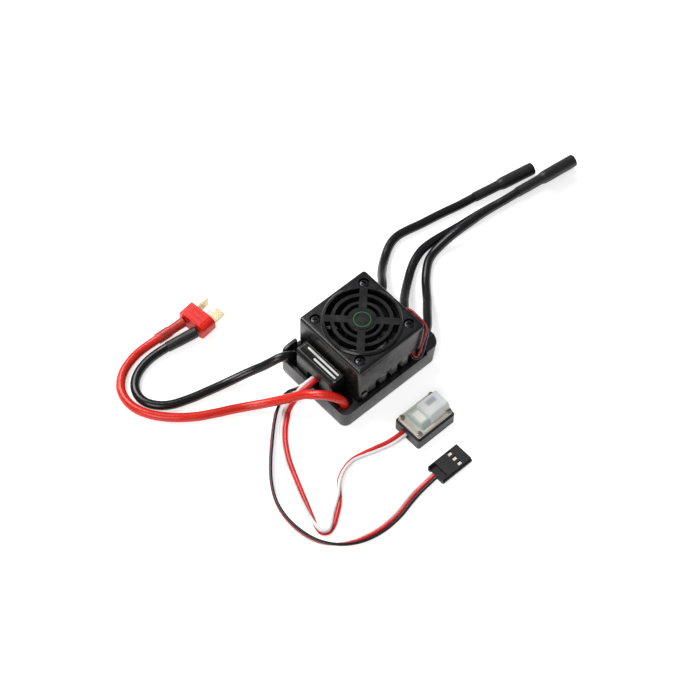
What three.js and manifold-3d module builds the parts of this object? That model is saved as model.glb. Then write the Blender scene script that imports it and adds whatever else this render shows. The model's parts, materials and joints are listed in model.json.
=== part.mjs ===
// Brushless motor speed controller for a model car: a fan cooled power case, its battery
// and motor wires, a power switch on a flat lead and a three pin receiver lead.
// Millimetres, +Z up. The origin is the middle of the tray's underside. The battery and
// signal wires leave the case on the -X side and the three motor wires on the +X side.
import * as THREE from 'three';
import { mergeVertices } from 'three/addons/utils/BufferGeometryUtils.js';
import Module from 'manifold-3d';

const wasm = await Module();
wasm.setup();

// General allowances
const seatGap = 0.3;
const slideGap = 0.1;
const overrun = 1;
const roundSteps = 16;
const cornerSteps = 4;
const edgeSteps = 3;

// Tray, the lower half of the case
const trayLength = 45;
const trayWidth = 36;
const trayHeight = 8.4;
const trayCorner = 3;
const trayRearCorner = 1.8;
const trayRound = 1.3;
const trayFloor = 1.6;
const trayWall = 1.3;
const rearBlockLength = 4.2;
const rearBlockHeight = 13;
const rearBlockLean = 1.8;
const rearBlockChamfer = 2.9;

// Wire guides at the battery end and bores at the motor end
const powerWireRadius = 1.75;
const wirePlay = 0.35;
const guideWidth = 6.2;
const guideLength = 8;
const guideSideWall = 2.6;
const guideRearWall = 0.6;
const guidePocketCorner = 2.2;
const raisedWallHeight = 12.2;
const raisedWallFront = 9.4;
const raisedWallThickness = 1.2;
const raisedWallFlatShare = 0.6;
const raisedWallBendShare = 0.12;
const motorBoreHeight = 8.5;
const motorBorePitchShare = 1 / 3;
const motorBoreOffset = 1.5;

// Circuit board and what it carries
const boardThickness = 1.6;
const standoffHeight = 1.4;
const standoffSize = 4;
const transistorCount = 4;
const transistorLength = 8;
const transistorWidth = 7;
const transistorHeight = 1.1;
const transistorPitchShare = 0.38;
const transistorRowPitch = 11;
const padThickness = 0.8;
const padInset = 2;
const padWidthShare = 0.6;
const capacitorRadius = 2.1;
const capacitorHeight = 11;
const capacitorRoom = 0.5;
const capacitorEdge = 0.5;

// Heat sink
const sinkBase = 2.2;
const sinkTop = 17.2;
const finCount = 6;
const finThicknessShare = 0.53;
const wideFinShare = 0.87;
const wideFinPlace = 1;
const finLift = 0.6;
const finOverhang = 1.6;

// Fan shroud
const shroudWall = 1;
const shroudCorner = 1.2;
const shroudTop = 24.5;
const ventBottom = 6.9;
const ventTop = 14.6;
const ventStart = 4.2;
const ventEnd = 3;
const ventCorner = 0.8;
const bossSize = 5.4;
const bossHeight = 2;
const leadNotchWidth = 3;
const leadNotchDepth = 3.4;
const leadNotchFromSide = 11.8;
const clipWidth = 2.4;
const clipDepth = 0.5;
const clipHeight = 4;

// Fan, its plan sizes as shares of its square frame
const fanHeight = 7;
const fanCornerShare = 0.05;
const fanBoreShare = 0.46;
const fanScrewPitchShare = 0.8;
const fanHoleRadius = 1.6;
const fanBaseThickness = 1;
const fanBaseShare = 0.233;
const strutCount = 4;
const strutWidth = 1.6;
const bearingTubeRadius = 2.4;
const bearingTubeHeight = 4.6;
const bearingRadius = 1.7;
const bearingHeight = 4.2;
const shaftRadius = 0.75;
const shaftHeight = 5;
const statorRoom = 0.8;
const statorHeight = 2.6;
const statorPoles = 4;
const statorSlotWidth = 1.2;
const hubShare = 0.22;
const hubWall = 0.6;
const hubRoof = 0.7;
const hubHeight = 4.9;
const hubEdge = 0.5;
const bladeCount = 7;
const bladeTipShare = 0.44;
const bladeHeight = 4.6;
const bladeChordShare = 0.24;
const bladeThickness = 0.7;
const bladeCamber = 1.1;
const bladeRootSink = 0.4;
const bladeTipFlareShare = 0.45;

// Fan guard, its slots as shares of the disc's radius
const guardThickness = 2.5;
const guardEdge = 1;
const guardDiscShare = 0.5;
const guardDiscRise = 1;
const guardDiscEdge = 0.5;
const guardDiscRim = 1;
const slotInnerShares = [0.36, 0.537, 0.77];
const slotOuterShares = [0.463, 0.683, 0.917];
const slotSectors = 4;
const slotSteps = 6;
const guardBarWidth = 2.9;
const guardSinkRadius = 2.15;
const guardSinkDepth = 1.7;
const hubBadgeShare = 0.293;
const hubBadgeHeight = 0.25;

// Guard screws
const screwHeadRadius = 1.8;
const screwHeadHeight = 1.5;
const screwShankRadius = 1.1;
const screwShankLength = 9.4;
const screwHeadEdge = 0.45;
const screwSteps = 12;

// Terminal cover that carries the label
const coverLength = 6.4;
const coverSideRoom = 2.8;
const coverTop = 18.5;
const coverCorner = 1.9;
const coverFrontRound = 2.2;
const coverEdge = 0.5;
const coverWall = 1;
const coverRoof = 1.2;
const notchWidth = 6.4;
const notchTop = 12.6;
const notchCentreY = 0.9;
const labelMargin = 0.7;
const labelCorner = 1.2;
const labelThickness = 0.25;

// Battery plug, a flat body with two crossed blades
const plugWidth = 12.6;
const plugDepth = 6.2;
const plugThickness = 7.2;
const plugCorner = 1.2;
const plugNoseCorner = 2.6;
const plugRibDepth = 1;
const plugRibHeight = 0.5;
const plugRibCount = 3;
const plugCentre = [-32.9, 52.1];
const plugYawDegrees = 6;
const plugTerminalPitch = 7;
const bladeLength = 6;
const bladeWidth = 4;
const bladeGauge = 1.1;
const batterySleeveRadius = 2.1;
const batterySleeveWall = 0.3;
const batterySleeveTurn = 1.2;
const redSleeveStart = [-48.4, 56.5, 2.4];
const redSleeveEnd = [-37.2, 55.3, 3.6];
const blackSleeveStart = [-47.9, 51.2, 2.5];
const blackSleeveEnd = [-36.7, 48.8, 3.6];

// Motor wire connectors in their heat shrink
const motorSleeveRadius = 2.5;
const motorSleeveWall = 0.3;
const motorNeckRadius = 1.95;
const motorNeckLength = 10.5;
const motorSleeveLength = 26.5;
const motorShoulder = 1.6;
const bulletRadius = 2.05;
const bulletBore = 1.7;
const bulletLength = 11;
const bulletDepth = 9;
const motorSleeveStarts = [[85.1, 25.1, 2.5], [99, 15.7, 2.5], [96.9, 13.5, 7.1]];
const motorSleeveEnds = [[111.1, 20.3, 2.5], [125.3, 12.4, 2.5], [123.1, 10.2, 7.1]];

// Power switch on its lead
const switchCentre = [0.9, -35.6];
const switchLength = 18.2;
const switchWidth = 12.8;
const switchCaseHeight = 5;
const switchCorner = 1;
const switchWall = 1.2;
const switchFloor = 1.2;
const switchHoodThickness = 1.3;
const switchHoodInset = 0.3;
const hoodDomeLength = 13;
const hoodDomeWidth = 6;
const hoodDomeHeight = 2.4;
const hoodDomeWall = 0.6;
const hoodDomeCorner = 1.4;
const hoodStepLength = 7.4;
const hoodStepRise = 0.8;
const switchScrewPitchX = 14.6;
const switchScrewPitchY = 9.4;
const switchScrewHoleRadius = 0.95;
const switchScrewHeadRadius = 1.15;
const switchScrewHeadHeight = 0.6;
const switchScrewShankRadius = 0.7;
const switchScrewShankLength = 4.2;
const switchPostSize = 2.8;
const switchBodyLength = 9;
const switchBodyWidth = 4.6;
const switchBodyHeight = 3.3;
const sliderLength = 3;
const sliderWidth = 2.6;
const sliderHeight = 1.9;
const sliderTravel = 3;
const sliderStart = -3;
const switchLeadSlotHeight = 2.2;
const switchLeadSlotWidth = 4;
const switchLeadSlotY = 1;

// Receiver plug
const receiverPlugCentre = [-4.5, -54.3];
const receiverPlugLength = 14.3;
const receiverPlugWidth = 7.8;
const receiverPlugHeight = 2.6;
const receiverKeyWidth = 0.6;
const receiverKeyHeight = 1.2;
const receiverPitch = 2.54;
const receiverPins = 3;
const receiverWindowLength = 1.9;
const receiverWindowWidth = 1.5;
const receiverWindowDepth = 1.1;
const receiverWindowFromTip = 4.6;
const receiverTailLength = 3;
const receiverTailDepth = 1.3;
const receiverBore = 0.9;
const contactLength = 1.6;
const contactWidth = 1.1;
const contactHeight = 0.6;

// Thin leads
const fanLeadRadius = 0.5;
const switchConductorRadius = 0.7;
const switchConductorPitch = 1.55;
const receiverConductorRadius = 0.52;
const receiverConductorPitch = 1.2;
const tubeSides = 8;
const powerTubeStep = 6;
const thinTubeStep = 3.6;
const fanTubeStep = 2.4;

// Routes of the wires, hand laid points along each centre line. The first part of each is
// measured from the case. Battery wires: from the tray's front end and inwards from its side
const redWireRise = [
  [4, 4.5, 4.65], [4, 4.5, 7.2], [3.7, 4.7, 9.3], [2.7, 5.7, 11.4], [1, 7.3, 13], [-1, 9.3, 13.9],
  [-2.7, 11.2, 13.9], [-4.2, 13.1, 13.2], [-5.5, 15.5, 11.9], [-7.5, 17.9, 9.9],
];
const redWireRoute = [
  [-32.4, 2.5, 7.7], [-34.8, 5.1, 5.7], [-37.4, 7.7, 3.9], [-40.5, 10.4, 2.6], [-44, 12.9, 1.9],
  [-48.6, 15.5, 1.8], [-52, 17.2, 1.8], [-55.3, 19, 1.8], [-58.5, 20.8, 1.8], [-61.5, 22.9, 1.8],
  [-64.4, 25.2, 1.8], [-67, 27.7, 1.8], [-69.5, 30.5, 1.8], [-71.7, 33.8, 1.8], [-73.4, 37.4, 1.8],
  [-74.2, 41.2, 1.8], [-74, 45, 1.8], [-72.8, 48.5, 1.8], [-70.5, 51.5, 1.8], [-67.4, 53.9, 1.8],
  [-63.9, 55.5, 1.8], [-60.2, 56.5, 1.8], [-56.3, 57, 1.8], [-52.4, 56.9, 2], [-48.7, 56.5, 2.4],
];
const blackWireRise = [
  [5.2, 4.5, 4.65], [5.2, 4.5, 6.2], [4.4, 4.4, 8.8], [2.6, 4, 10.8], [0.3, 3.4, 11.8],
  [-2.1, 2.4, 11.7], [-4.5, 1.1, 10.2], [-7.1, -0.7, 7.9],
];
const blackWireRoute = [
  [-32.4, 20.7, 5.8], [-35.6, 22.5, 4.1], [-39, 24, 2.8], [-42.8, 25.3, 2], [-46.5, 26.3, 1.8],
  [-50.5, 27.3, 1.8], [-54.5, 28.3, 1.8], [-58.2, 29.5, 1.8], [-61.9, 30.9, 1.8], [-65.1, 32.8, 1.8],
  [-67.6, 35.3, 1.8], [-69.2, 38, 1.8], [-69.8, 40.9, 1.8], [-69.3, 43.9, 1.8], [-67.8, 46.6, 1.8],
  [-65.5, 48.8, 1.8], [-62.6, 50.4, 1.8], [-59.4, 51.4, 1.8], [-55.8, 51.9, 1.9], [-52, 51.8, 2.1],
  [-48.2, 51.3, 2.5],
];
// Motor wires: from the tray's rear end and from the middle of each bore
const motorWireStarts = [
  [[-3.8, 0, 8.5], [1.7, 0, 8.5], [3.9, 1.5, 7.9], [6.3, 4, 6.7], [9.5, 7.7, 4.6]],
  [[-3.8, 0, 8.5], [1.7, 0, 8.5], [4.1, 1.7, 7.9], [6.9, 4.6, 6.4], [11.8, 8.9, 4]],
  [[-3.8, 0, 8.5], [1.7, 0, 8.5], [4.1, 1.3, 8], [6.7, 3.7, 7.2], [10.3, 7.6, 5.9]],
];
const motorWireRoutes = [
  [
    [35.6, 24.6, 2.8], [39.3, 27.4, 1.9], [43.3, 29.9, 1.8], [46.9, 31.4, 1.8], [50.2, 31.9, 1.8],
    [54, 31.5, 1.8], [60.4, 30.1, 1.8], [69.4, 28.5, 1.8], [78.3, 26.5, 2], [84.8, 25.2, 2.5],
  ],
  [
    [39, 14, 2.3], [43.3, 17, 1.8], [47.7, 19.3, 1.8], [52.5, 20.8, 1.8], [57.2, 21, 1.8],
    [61.8, 20.6, 1.8], [66.4, 20, 1.8], [71.3, 19.4, 1.8], [76.4, 18.9, 1.8], [81.1, 18.4, 1.8],
    [86.1, 17.7, 1.9], [92, 16.6, 2.2], [98.7, 15.7, 2.5],
  ],
  [
    [37.3, 1.8, 3.9], [40.9, 6, 2.5], [44.2, 9.7, 1.8], [47.5, 12.8, 1.8], [51.2, 15.5, 1.8],
    [55, 16.9, 1.9], [58.8, 17.2, 2.7], [63.7, 17, 4.2], [68.6, 16.7, 5], [73.6, 16.5, 5.1],
    [79.2, 16.3, 5.2], [84.5, 15.7, 5.5], [90.5, 14.5, 6.4], [96.6, 13.5, 7.1],
  ],
];
// Fan leads: from the shroud's rear corner on their side, ending between the last two fins
const fanLeadRoutes = [
  [
    [-0.8, 12, 23.4], [0.6, 11.4, 23.9], [1.1, 9, 25.4], [1, 5.2, 25.7], [0.9, 2, 25.4],
    [0.4, -0.4, 24.6], [-0.7, -1.1, 22.6], [-1.6, -1.1, 19.6], [-2.4, -1.2, 16.4], [-3.3, -1.2, 13.4],
    [-4.6, -1.2, 11.7],
  ],
  [
    [-0.8, 12, 22.1], [0.6, 11.4, 22.6], [1.1, 9, 24.1], [0.9, 5.2, 24.5], [0.8, 1.8, 24],
    [0.7, -0.5, 23], [0, -1.3, 21], [-0.6, -1.3, 18], [-1.1, -1.4, 15], [-2, -1.5, 12], [-3.5, -1.5, 10.2],
  ],
];
const fanLeadEndHeights = [13.2, 11.2];
const fanLeadEndDepth = 1.8;
const fanLeadEndRise = 0.6;
// Flat leads: the first part is measured from the tray's front end. The last number of each
// point is the turn of the flat lead in degrees: 0 lies flat with its first conductor on the
// right of the way it runs, 90 has that conductor on top
const switchLeadStart = [
  [3.7, 0.8, 10.6, 0], [-1.2, 0.8, 10.6, 0], [-3.5, 0.9, 9.9, 0], [-5.7, 1.2, 8, 0], [-7.4, 1.7, 5.2, 0],
  [-8.9, 2.1, 2.6, 0], [-10.7, 1.8, 1, 0],
];
const switchLeadRoute = [
  [-35.4, 0, 0.8, 0], [-38.6, -2.7, 0.8, 0], [-42.4, -7, 0.8, 0], [-46.6, -13.6, 0.8, 0],
  [-50.2, -21.7, 0.8, 0], [-53.4, -29.7, 1, 15], [-55.9, -36.4, 1.35, 45], [-57.3, -41.2, 1.5, 80],
  [-57.4, -44.2, 1.6, 90], [-55.6, -45.7, 1.6, 100], [-52.9, -44.8, 1.5, 130], [-49.4, -42.3, 1, 165],
  [-45.8, -39.7, 1.2, 150], [-42.9, -37.3, 1.6, 110], [-40.3, -34.6, 1.6, 85], [-37.4, -32.2, 1.6, 70],
  [-33.6, -30.6, 1.6, 60], [-29.5, -30, 1.5, 50], [-25, -30.8, 1.3, 30], [-20.2, -32.2, 1.3, 10],
  [-15.4, -33.6, 1.6, 0], [-11.6, -34.3, 2.1, 0], [-8, -34.4, 2.2, 0],
];
const receiverLeadStart = [
  [3.7, 0.9, 9.1, 0], [-0.7, 0.9, 9.1, 0], [-2.3, 2.1, 8.3, -8], [-3.5, 3.9, 6.5, -35],
  [-4.9, 5.5, 4.5, -60], [-6.8, 6.4, 2.8, -75], [-9.1, 6.1, 1.9, -78],
];
const receiverLeadRoute = [
  [-34.4, 4.9, 1.75, -76], [-37.2, 3.2, 1.75, -75], [-41.4, -0.2, 1.75, -75], [-46.8, -5.3, 1.75, -75],
  [-52.3, -10.9, 1.75, -78], [-57.7, -17.6, 1.8, -85], [-61.6, -24.8, 1.8, -90], [-63.3, -32.4, 1.8, -90],
  [-63, -40, 1.8, -90], [-60.9, -46.6, 1.8, -100], [-56.8, -51.6, 1.6, -120], [-51.4, -54.8, 1.3, -150],
  [-45.2, -56.6, 0.8, -170], [-38.8, -57.3, 0.7, -180], [-32, -56.9, 0.7, -180], [-25.5, -55.5, 0.7, -180],
  [-20, -54.6, 0.9, -180], [-15.6, -54.4, 1.5, -180], [-12, -54.3, 2, -180],
];

// Places that several pieces share
const trayFront = -trayLength / 2;
const trayRear = trayLength / 2;
const rearBlockFront = trayRear - rearBlockLength;
const coverFront = trayFront + trayWall + seatGap;
const coverCentreX = coverFront + coverLength / 2;
const shroudFront = coverFront + coverLength + seatGap;
const shroudLength = rearBlockFront - seatGap - shroudFront;
const shroudWidth = trayWidth - 2 * (trayWall + seatGap);
const shroudCentreX = shroudFront + shroudLength / 2;
const boardLength = shroudLength - 2 * seatGap;
const boardWidth = shroudWidth - 2 * slideGap;
const boardBottom = trayFloor + standoffHeight;
const boardTop = boardBottom + boardThickness;
const tongueWidth = trayWidth - 2 * guideWidth - 2 * seatGap;
const padBottom = boardTop + transistorHeight;
const sinkBottom = padBottom + padThickness;
const sinkLength = shroudLength - 2 * shroudWall - 2 * seatGap;
const sinkWidth = shroudWidth - 2 * shroudWall - 2 * seatGap;
const finPitch = sinkLength / (finCount - 1 + finThicknessShare);
const finThickness = finPitch * finThicknessShare;
const coverWidth = tongueWidth - coverSideRoom;
const coverCentreY = (tongueWidth - coverWidth) / 2 - seatGap;
const fanSize = Math.min(shroudLength, shroudWidth) - 2 * shroudWall - 2 * slideGap;
const fanScrewPitch = fanSize * fanScrewPitchShare;
const fanBoreRadius = fanSize * fanBoreShare;
const hubRadius = fanSize * hubShare;
const statorRadius = hubRadius - hubWall - statorRoom;
const bladeTipRadius = fanSize * bladeTipShare;
const fanBottom = sinkTop;
const rotorBottom = fanBottom + (fanHeight + fanBaseThickness - hubHeight) / 2;
const guardTop = shroudTop + guardThickness;
const guardDiscRadius = fanSize * guardDiscShare;
const guardDiscTop = guardTop + guardDiscRise;
const wireBore = powerWireRadius + wirePlay;

// Shapes and solids

function roundedOutline(length, width, corner, rearCorner = corner) {
  const frontX = length / 2 - corner;
  const frontY = width / 2 - corner;
  const rearX = length / 2 - rearCorner;
  const rearY = width / 2 - rearCorner;
  const shape = new THREE.Shape();
  shape.absarc(rearX, rearY, rearCorner, 0, Math.PI / 2);
  shape.absarc(-frontX, frontY, corner, Math.PI / 2, Math.PI);
  shape.absarc(-frontX, -frontY, corner, Math.PI, 1.5 * Math.PI);
  shape.absarc(rearX, -rearY, rearCorner, 1.5 * Math.PI, 2 * Math.PI);
  return shape;
}

// A block on an outline whose lower and upper edges are rounded all the way round
function easedBlock(outline, height, edge, curveSegments = cornerSteps) {
  return new THREE.ExtrudeGeometry(outline, {
    depth: height - 2 * edge, bevelEnabled: true, bevelThickness: edge, bevelSize: edge,
    bevelOffset: -edge, bevelSegments: edgeSteps, curveSegments,
  }).translate(0, 0, edge);
}

function prism(shape, height, curveSegments = cornerSteps) {
  return new THREE.ExtrudeGeometry(shape, { depth: height, bevelEnabled: false, curveSegments });
}

function roundedBlock(length, width, height, corner) {
  return prism(roundedOutline(length, width, corner), height);
}

function block(length, width, height) {
  return new THREE.BoxGeometry(length, width, height).translate(0, 0, height / 2);
}

function rod(radius, height, steps = roundSteps) {
  const upright = new THREE.CylinderGeometry(radius, radius, height, steps);
  return upright.rotateX(Math.PI / 2).translate(0, 0, height / 2);
}

// A turned solid about Z from its outline of radius and height pairs
function turned(outline, steps = roundSteps) {
  const points = outline.map(([radius, height]) => new THREE.Vector2(radius, height));
  return new THREE.LatheGeometry(points, steps).rotateX(Math.PI / 2);
}

function toSolid(geometry) {
  const bare = geometry.clone();
  bare.deleteAttribute('normal');
  bare.deleteAttribute('uv');
  const welded = mergeVertices(bare);
  return new wasm.Manifold(new wasm.Mesh({
    numProp: 3,
    vertProperties: new Float32Array(welded.attributes.position.array),
    triVerts: new Uint32Array(welded.index.array),
  }));
}

function toGeometry(solid) {
  const mesh = solid.getMesh();
  const geometry = new THREE.BufferGeometry();
  geometry.setAttribute('position', new THREE.BufferAttribute(new Float32Array(mesh.vertProperties), 3));
  geometry.setIndex(new THREE.BufferAttribute(new Uint32Array(mesh.triVerts), 1));
  geometry.computeVertexNormals();
  return geometry;
}

function joined(...geometries) {
  return toGeometry(geometries.map(toSolid).reduce((whole, next) => whole.add(next)));
}

function cut(geometry, ...tools) {
  return toGeometry(tools.map(toSolid).reduce((whole, tool) => whole.subtract(tool), toSolid(geometry)));
}

function common(geometry, other) {
  return toGeometry(toSolid(geometry).intersect(toSolid(other)));
}

function corners(pitchX, pitchY) {
  const places = [];
  for (const x of [-pitchX / 2, pitchX / 2]) {
    for (const y of [-pitchY / 2, pitchY / 2]) {
      places.push([x, y]);
    }
  }
  return places;
}

function finish(color, roughness, metalness = 0) {
  return new THREE.MeshStandardMaterial({ color, roughness, metalness });
}

function piece(name, geometry, material, x = 0, y = 0, z = 0) {
  const mesh = new THREE.Mesh(geometry, material);
  mesh.name = name;
  mesh.position.set(x, y, z);
  return mesh;
}

// Turns and places a piece that was made along +Z so that it runs from one point to another
function layBetween(mesh, from, to) {
  const start = new THREE.Vector3(...from);
  const direction = new THREE.Vector3(...to).sub(start).normalize();
  mesh.quaternion.setFromUnitVectors(new THREE.Vector3(0, 0, 1), direction);
  mesh.position.copy(start);
  return mesh;
}

// Finishes
const blackPlastic = () => finish(0x1b1b1c, 0.45);
const satinBlack = () => finish(0x232325, 0.38);
const blackMetal = () => finish(0x101011, 0.35, 0.6);
const screwSteel = () => finish(0x2a2a2b, 0.3, 0.9);
const brightSteel = () => finish(0xb9b7ac, 0.25, 1);
const gold = () => finish(0xd6b565, 0.25, 1);
const boardGreen = () => finish(0x0d3a22, 0.5);
const chipBlack = () => finish(0x151515, 0.5);
const padGrey = () => finish(0x8d9aa6, 0.8);
const blackRubber = () => finish(0x17171a, 0.5);
const redRubber = () => finish(0xd92420, 0.42);
const whiteRubber = () => finish(0xeceae6, 0.45);
const shrinkBlack = () => finish(0x262626, 0.7);
const shrinkRed = () => finish(0xb3302a, 0.6);
const plugRed = () => finish(0xdf2a22, 0.4);
const clearPlastic = () => finish(0xcfd1c8, 0.2);
const copper = () => finish(0xa8662f, 0.4, 0.9);

// Tray with its wire guides and rear block

function guideBlock(side) {
  return block(guideLength, guideWidth, trayHeight)
    .translate(trayFront + guideLength / 2, side * (trayWidth - guideWidth) / 2, 0);
}

// The trough that holds a battery wire's end, open upwards and towards the middle
function guidePocket(side) {
  const length = guideLength - trayWall - guideRearWall;
  const width = guideWidth - guideSideWall + guidePocketCorner + overrun;
  const pocket = roundedBlock(length, width, trayHeight, guidePocketCorner);
  return pocket.translate(
    trayFront + trayWall + length / 2,
    side * (trayWidth / 2 - guideSideWall - width / 2),
    boardTop,
  );
}

// The thin wall that rises along the outer side of the negative wire's guide
function raisedWall() {
  const profile = new THREE.Shape();
  profile.moveTo(0, 0);
  profile.lineTo(guideLength, 0);
  profile.lineTo(guideLength, raisedWallHeight);
  profile.lineTo(guideLength * raisedWallFlatShare, raisedWallHeight);
  profile.quadraticCurveTo(guideLength * raisedWallBendShare, raisedWallHeight, 0, raisedWallFront);
  profile.closePath();
  const wall = prism(profile, raisedWallThickness).rotateX(Math.PI / 2);
  return wall.translate(trayFront, trayWidth / 2, 0);
}

function boreAlongX(radius, fromX, toX, y, z) {
  const bore = rod(radius, toX - fromX, screwSteps).rotateY(Math.PI / 2);
  return bore.translate(fromX, y, z);
}

// The motor end's block, its upper side edges cut off at an angle
function rearBlock() {
  const half = trayWidth / 2;
  const shoulder = rearBlockHeight - rearBlockChamfer;
  const profile = new THREE.Shape();
  profile.moveTo(-half, 0);
  profile.lineTo(half, 0);
  profile.lineTo(half, shoulder);
  profile.lineTo(half - rearBlockChamfer, rearBlockHeight);
  profile.lineTo(rearBlockChamfer - half, rearBlockHeight);
  profile.lineTo(-half, shoulder);
  profile.closePath();
  const solid = prism(profile, rearBlockLength + rearBlockLean + overrun);
  return solid.rotateX(Math.PI / 2).rotateZ(Math.PI / 2).translate(rearBlockFront, 0, 0);
}

function motorBoreY(index) {
  return motorBoreOffset + (1 - index) * trayWidth * motorBorePitchShare;
}

// The tray's outer form: rounded along its underside, its rear end leaning out as it rises
function trayForm() {
  const outline = roundedOutline(trayLength, trayWidth, trayCorner, trayRearCorner);
  const form = easedBlock(outline, rearBlockHeight + 2 * trayRound, trayRound);
  const place = form.attributes.position;
  for (let index = 0; index < place.count; index += 1) {
    if (place.getX(index) > 0) {
      const lean = rearBlockLean * place.getZ(index) / rearBlockHeight;
      place.setX(index, place.getX(index) + lean);
    }
  }
  return form;
}

function baseTray() {
  const outline = roundedOutline(trayLength, trayWidth, trayCorner, trayRearCorner);
  const innerOutline = roundedOutline(
    trayLength - 2 * trayWall,
    trayWidth - 2 * trayWall,
    trayCorner - trayWall,
    trayRearCorner - trayWall,
  );
  const cavity = prism(innerOutline, rearBlockHeight).translate(0, 0, trayFloor);
  const cup = cut(prism(outline, trayHeight), cavity);
  const raised = [guideBlock(1), guideBlock(-1), raisedWall(), rearBlock()];
  const standoffs = corners(boardLength - standoffSize, boardWidth - standoffSize).map(([x, y]) =>
    block(standoffSize, standoffSize, boardBottom).translate(x + shroudCentreX, y, 0));
  const tongueStop = block(standoffSize / 2, tongueWidth / 2, boardBottom)
    .translate(coverFront + standoffSize / 4, 0, 0);
  const body = common(joined(cup, ...raised, ...standoffs, tongueStop), trayForm());
  const cuts = [guidePocket(1), guidePocket(-1)];
  for (let index = 0; index < motorWireRoutes.length; index += 1) {
    const boreStart = rearBlockFront - overrun;
    const boreEnd = trayRear + rearBlockLean + overrun;
    cuts.push(boreAlongX(wireBore, boreStart, boreEnd, motorBoreY(index), motorBoreHeight));
  }
  return piece('base_tray', cut(body, ...cuts), blackPlastic());
}

// Circuit board with the pieces that it carries

// The board fills the tray under the shroud and sends a tongue out between the wire guides
function circuitBoard() {
  const tongueLength = shroudFront + seatGap - coverFront + overrun;
  const tongue = block(tongueLength, tongueWidth, boardThickness)
    .translate(coverFront + tongueLength / 2 - shroudCentreX, 0, 0);
  const solid = joined(block(boardLength, boardWidth, boardThickness), tongue);
  return piece('circuit_board', solid, boardGreen(), shroudCentreX, 0, boardBottom);
}

function powerTransistors() {
  const pieces = [];
  const perRow = transistorCount / 2;
  for (let index = 0; index < transistorCount; index += 1) {
    const column = index % perRow;
    const row = Math.floor(index / perRow);
    const x = shroudCentreX + (column - (perRow - 1) / 2) * boardLength * transistorPitchShare;
    const y = (2 * row - 1) * transistorRowPitch / 2;
    const body = block(transistorLength, transistorWidth, transistorHeight);
    pieces.push(piece(`power_transistor_${index + 1}`, body, chipBlack(), x, y, boardTop));
  }
  return pieces;
}

function thermalPad() {
  const pad = block(sinkLength - 2 * padInset, sinkWidth * padWidthShare, padThickness);
  return piece('thermal_pad', pad, padGrey(), shroudCentreX, 0, padBottom);
}

function capacitors() {
  const outline = [
    [0, 0], [capacitorRadius, 0], [capacitorRadius, capacitorHeight - capacitorEdge],
    [capacitorRadius - capacitorEdge, capacitorHeight], [0, capacitorHeight],
  ];
  const reach = coverWidth / 2 - coverWall - capacitorRoom - capacitorRadius;
  return [['capacitor_left', 1], ['capacitor_right', -1]].map(([name, side]) =>
    piece(name, turned(outline, screwSteps), brightSteel(),
      coverCentreX, coverCentreY + side * reach, boardTop));
}

// Heat sink: a base with upright fins that reach out past it on both sides, cleared at the
// corners for the shroud's bosses

function heatSink() {
  const base = block(sinkLength, sinkWidth - 2 * finOverhang, sinkBase);
  const finHeight = sinkTop - sinkBottom - finLift;
  const parts = [base];
  for (let index = 0; index < finCount; index += 1) {
    const thickness = index === wideFinPlace ? finPitch * wideFinShare : finThickness;
    const rearFace = index * finPitch + finThickness - sinkLength / 2;
    parts.push(block(thickness, sinkWidth, finHeight).translate(rearFace - thickness / 2, 0, finLift));
  }
  const clearLength = bossSize + seatGap;
  const clearings = corners(sinkLength, sinkWidth).map(([x, y]) =>
    block(2 * clearLength, 2 * clearLength, bossHeight + seatGap + overrun)
      .translate(x, y, sinkTop - sinkBottom - bossHeight - seatGap));
  const solid = cut(joined(...parts), ...clearings);
  return piece('heat_sink', solid, blackMetal(), shroudCentreX, 0, sinkBottom);
}

// Fan shroud: a square sleeve round the fins and the fan, open along both sides

// A long opening with rounded corners through one side, for the air that leaves the fins
function sideVent(side) {
  const length = shroudLength - ventStart - ventEnd;
  const depth = 2 * (shroudWall + clipDepth);
  const hole = roundedBlock(length, ventTop - ventBottom, depth, ventCorner).rotateX(Math.PI / 2);
  const middle = (ventStart - ventEnd) / 2;
  const height = (ventBottom + ventTop) / 2 - boardTop;
  return hole.translate(middle, side * shroudWidth / 2 + depth / 2, height);
}

function fanShroud() {
  const height = shroudTop - boardTop;
  const innerLength = shroudLength - 2 * shroudWall;
  const innerWidth = shroudWidth - 2 * shroudWall;
  const sleeve = cut(
    roundedBlock(shroudLength, shroudWidth, height, shroudCorner),
    block(innerLength, innerWidth, height + 2 * overrun).translate(0, 0, -overrun),
  );
  const bosses = corners(innerLength - bossSize, innerWidth - bossSize).map(([x, y]) =>
    block(bossSize, bossSize, bossHeight)
      .translate(x + Math.sign(x) * slideGap, y + Math.sign(y) * slideGap, sinkTop - boardTop - bossHeight));
  const clips = corners(shroudLength - clipWidth - 2 * shroudCorner, shroudWidth).map(([x, y]) =>
    block(clipWidth, 2 * clipDepth, clipHeight).translate(x, y, trayHeight - boardTop + seatGap));
  const notchY = leadNotchFromSide - shroudWidth / 2;
  const leadNotch = block(2 * (shroudWall + slideGap), leadNotchWidth, leadNotchDepth + overrun)
    .translate(shroudLength / 2, notchY, height - leadNotchDepth);
  const bores = corners(fanScrewPitch, fanScrewPitch).map(([x, y]) =>
    rod(screwShankRadius + seatGap, sinkTop, screwSteps).translate(x, y, 0));
  const solid = cut(joined(sleeve, ...bosses, ...clips), sideVent(1), sideVent(-1), leadNotch, ...bores);
  return piece('fan_shroud', solid, satinBlack(), shroudCentreX, 0, boardTop);
}

// Fan: frame with its motor, and the rotor that turns in it

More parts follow.
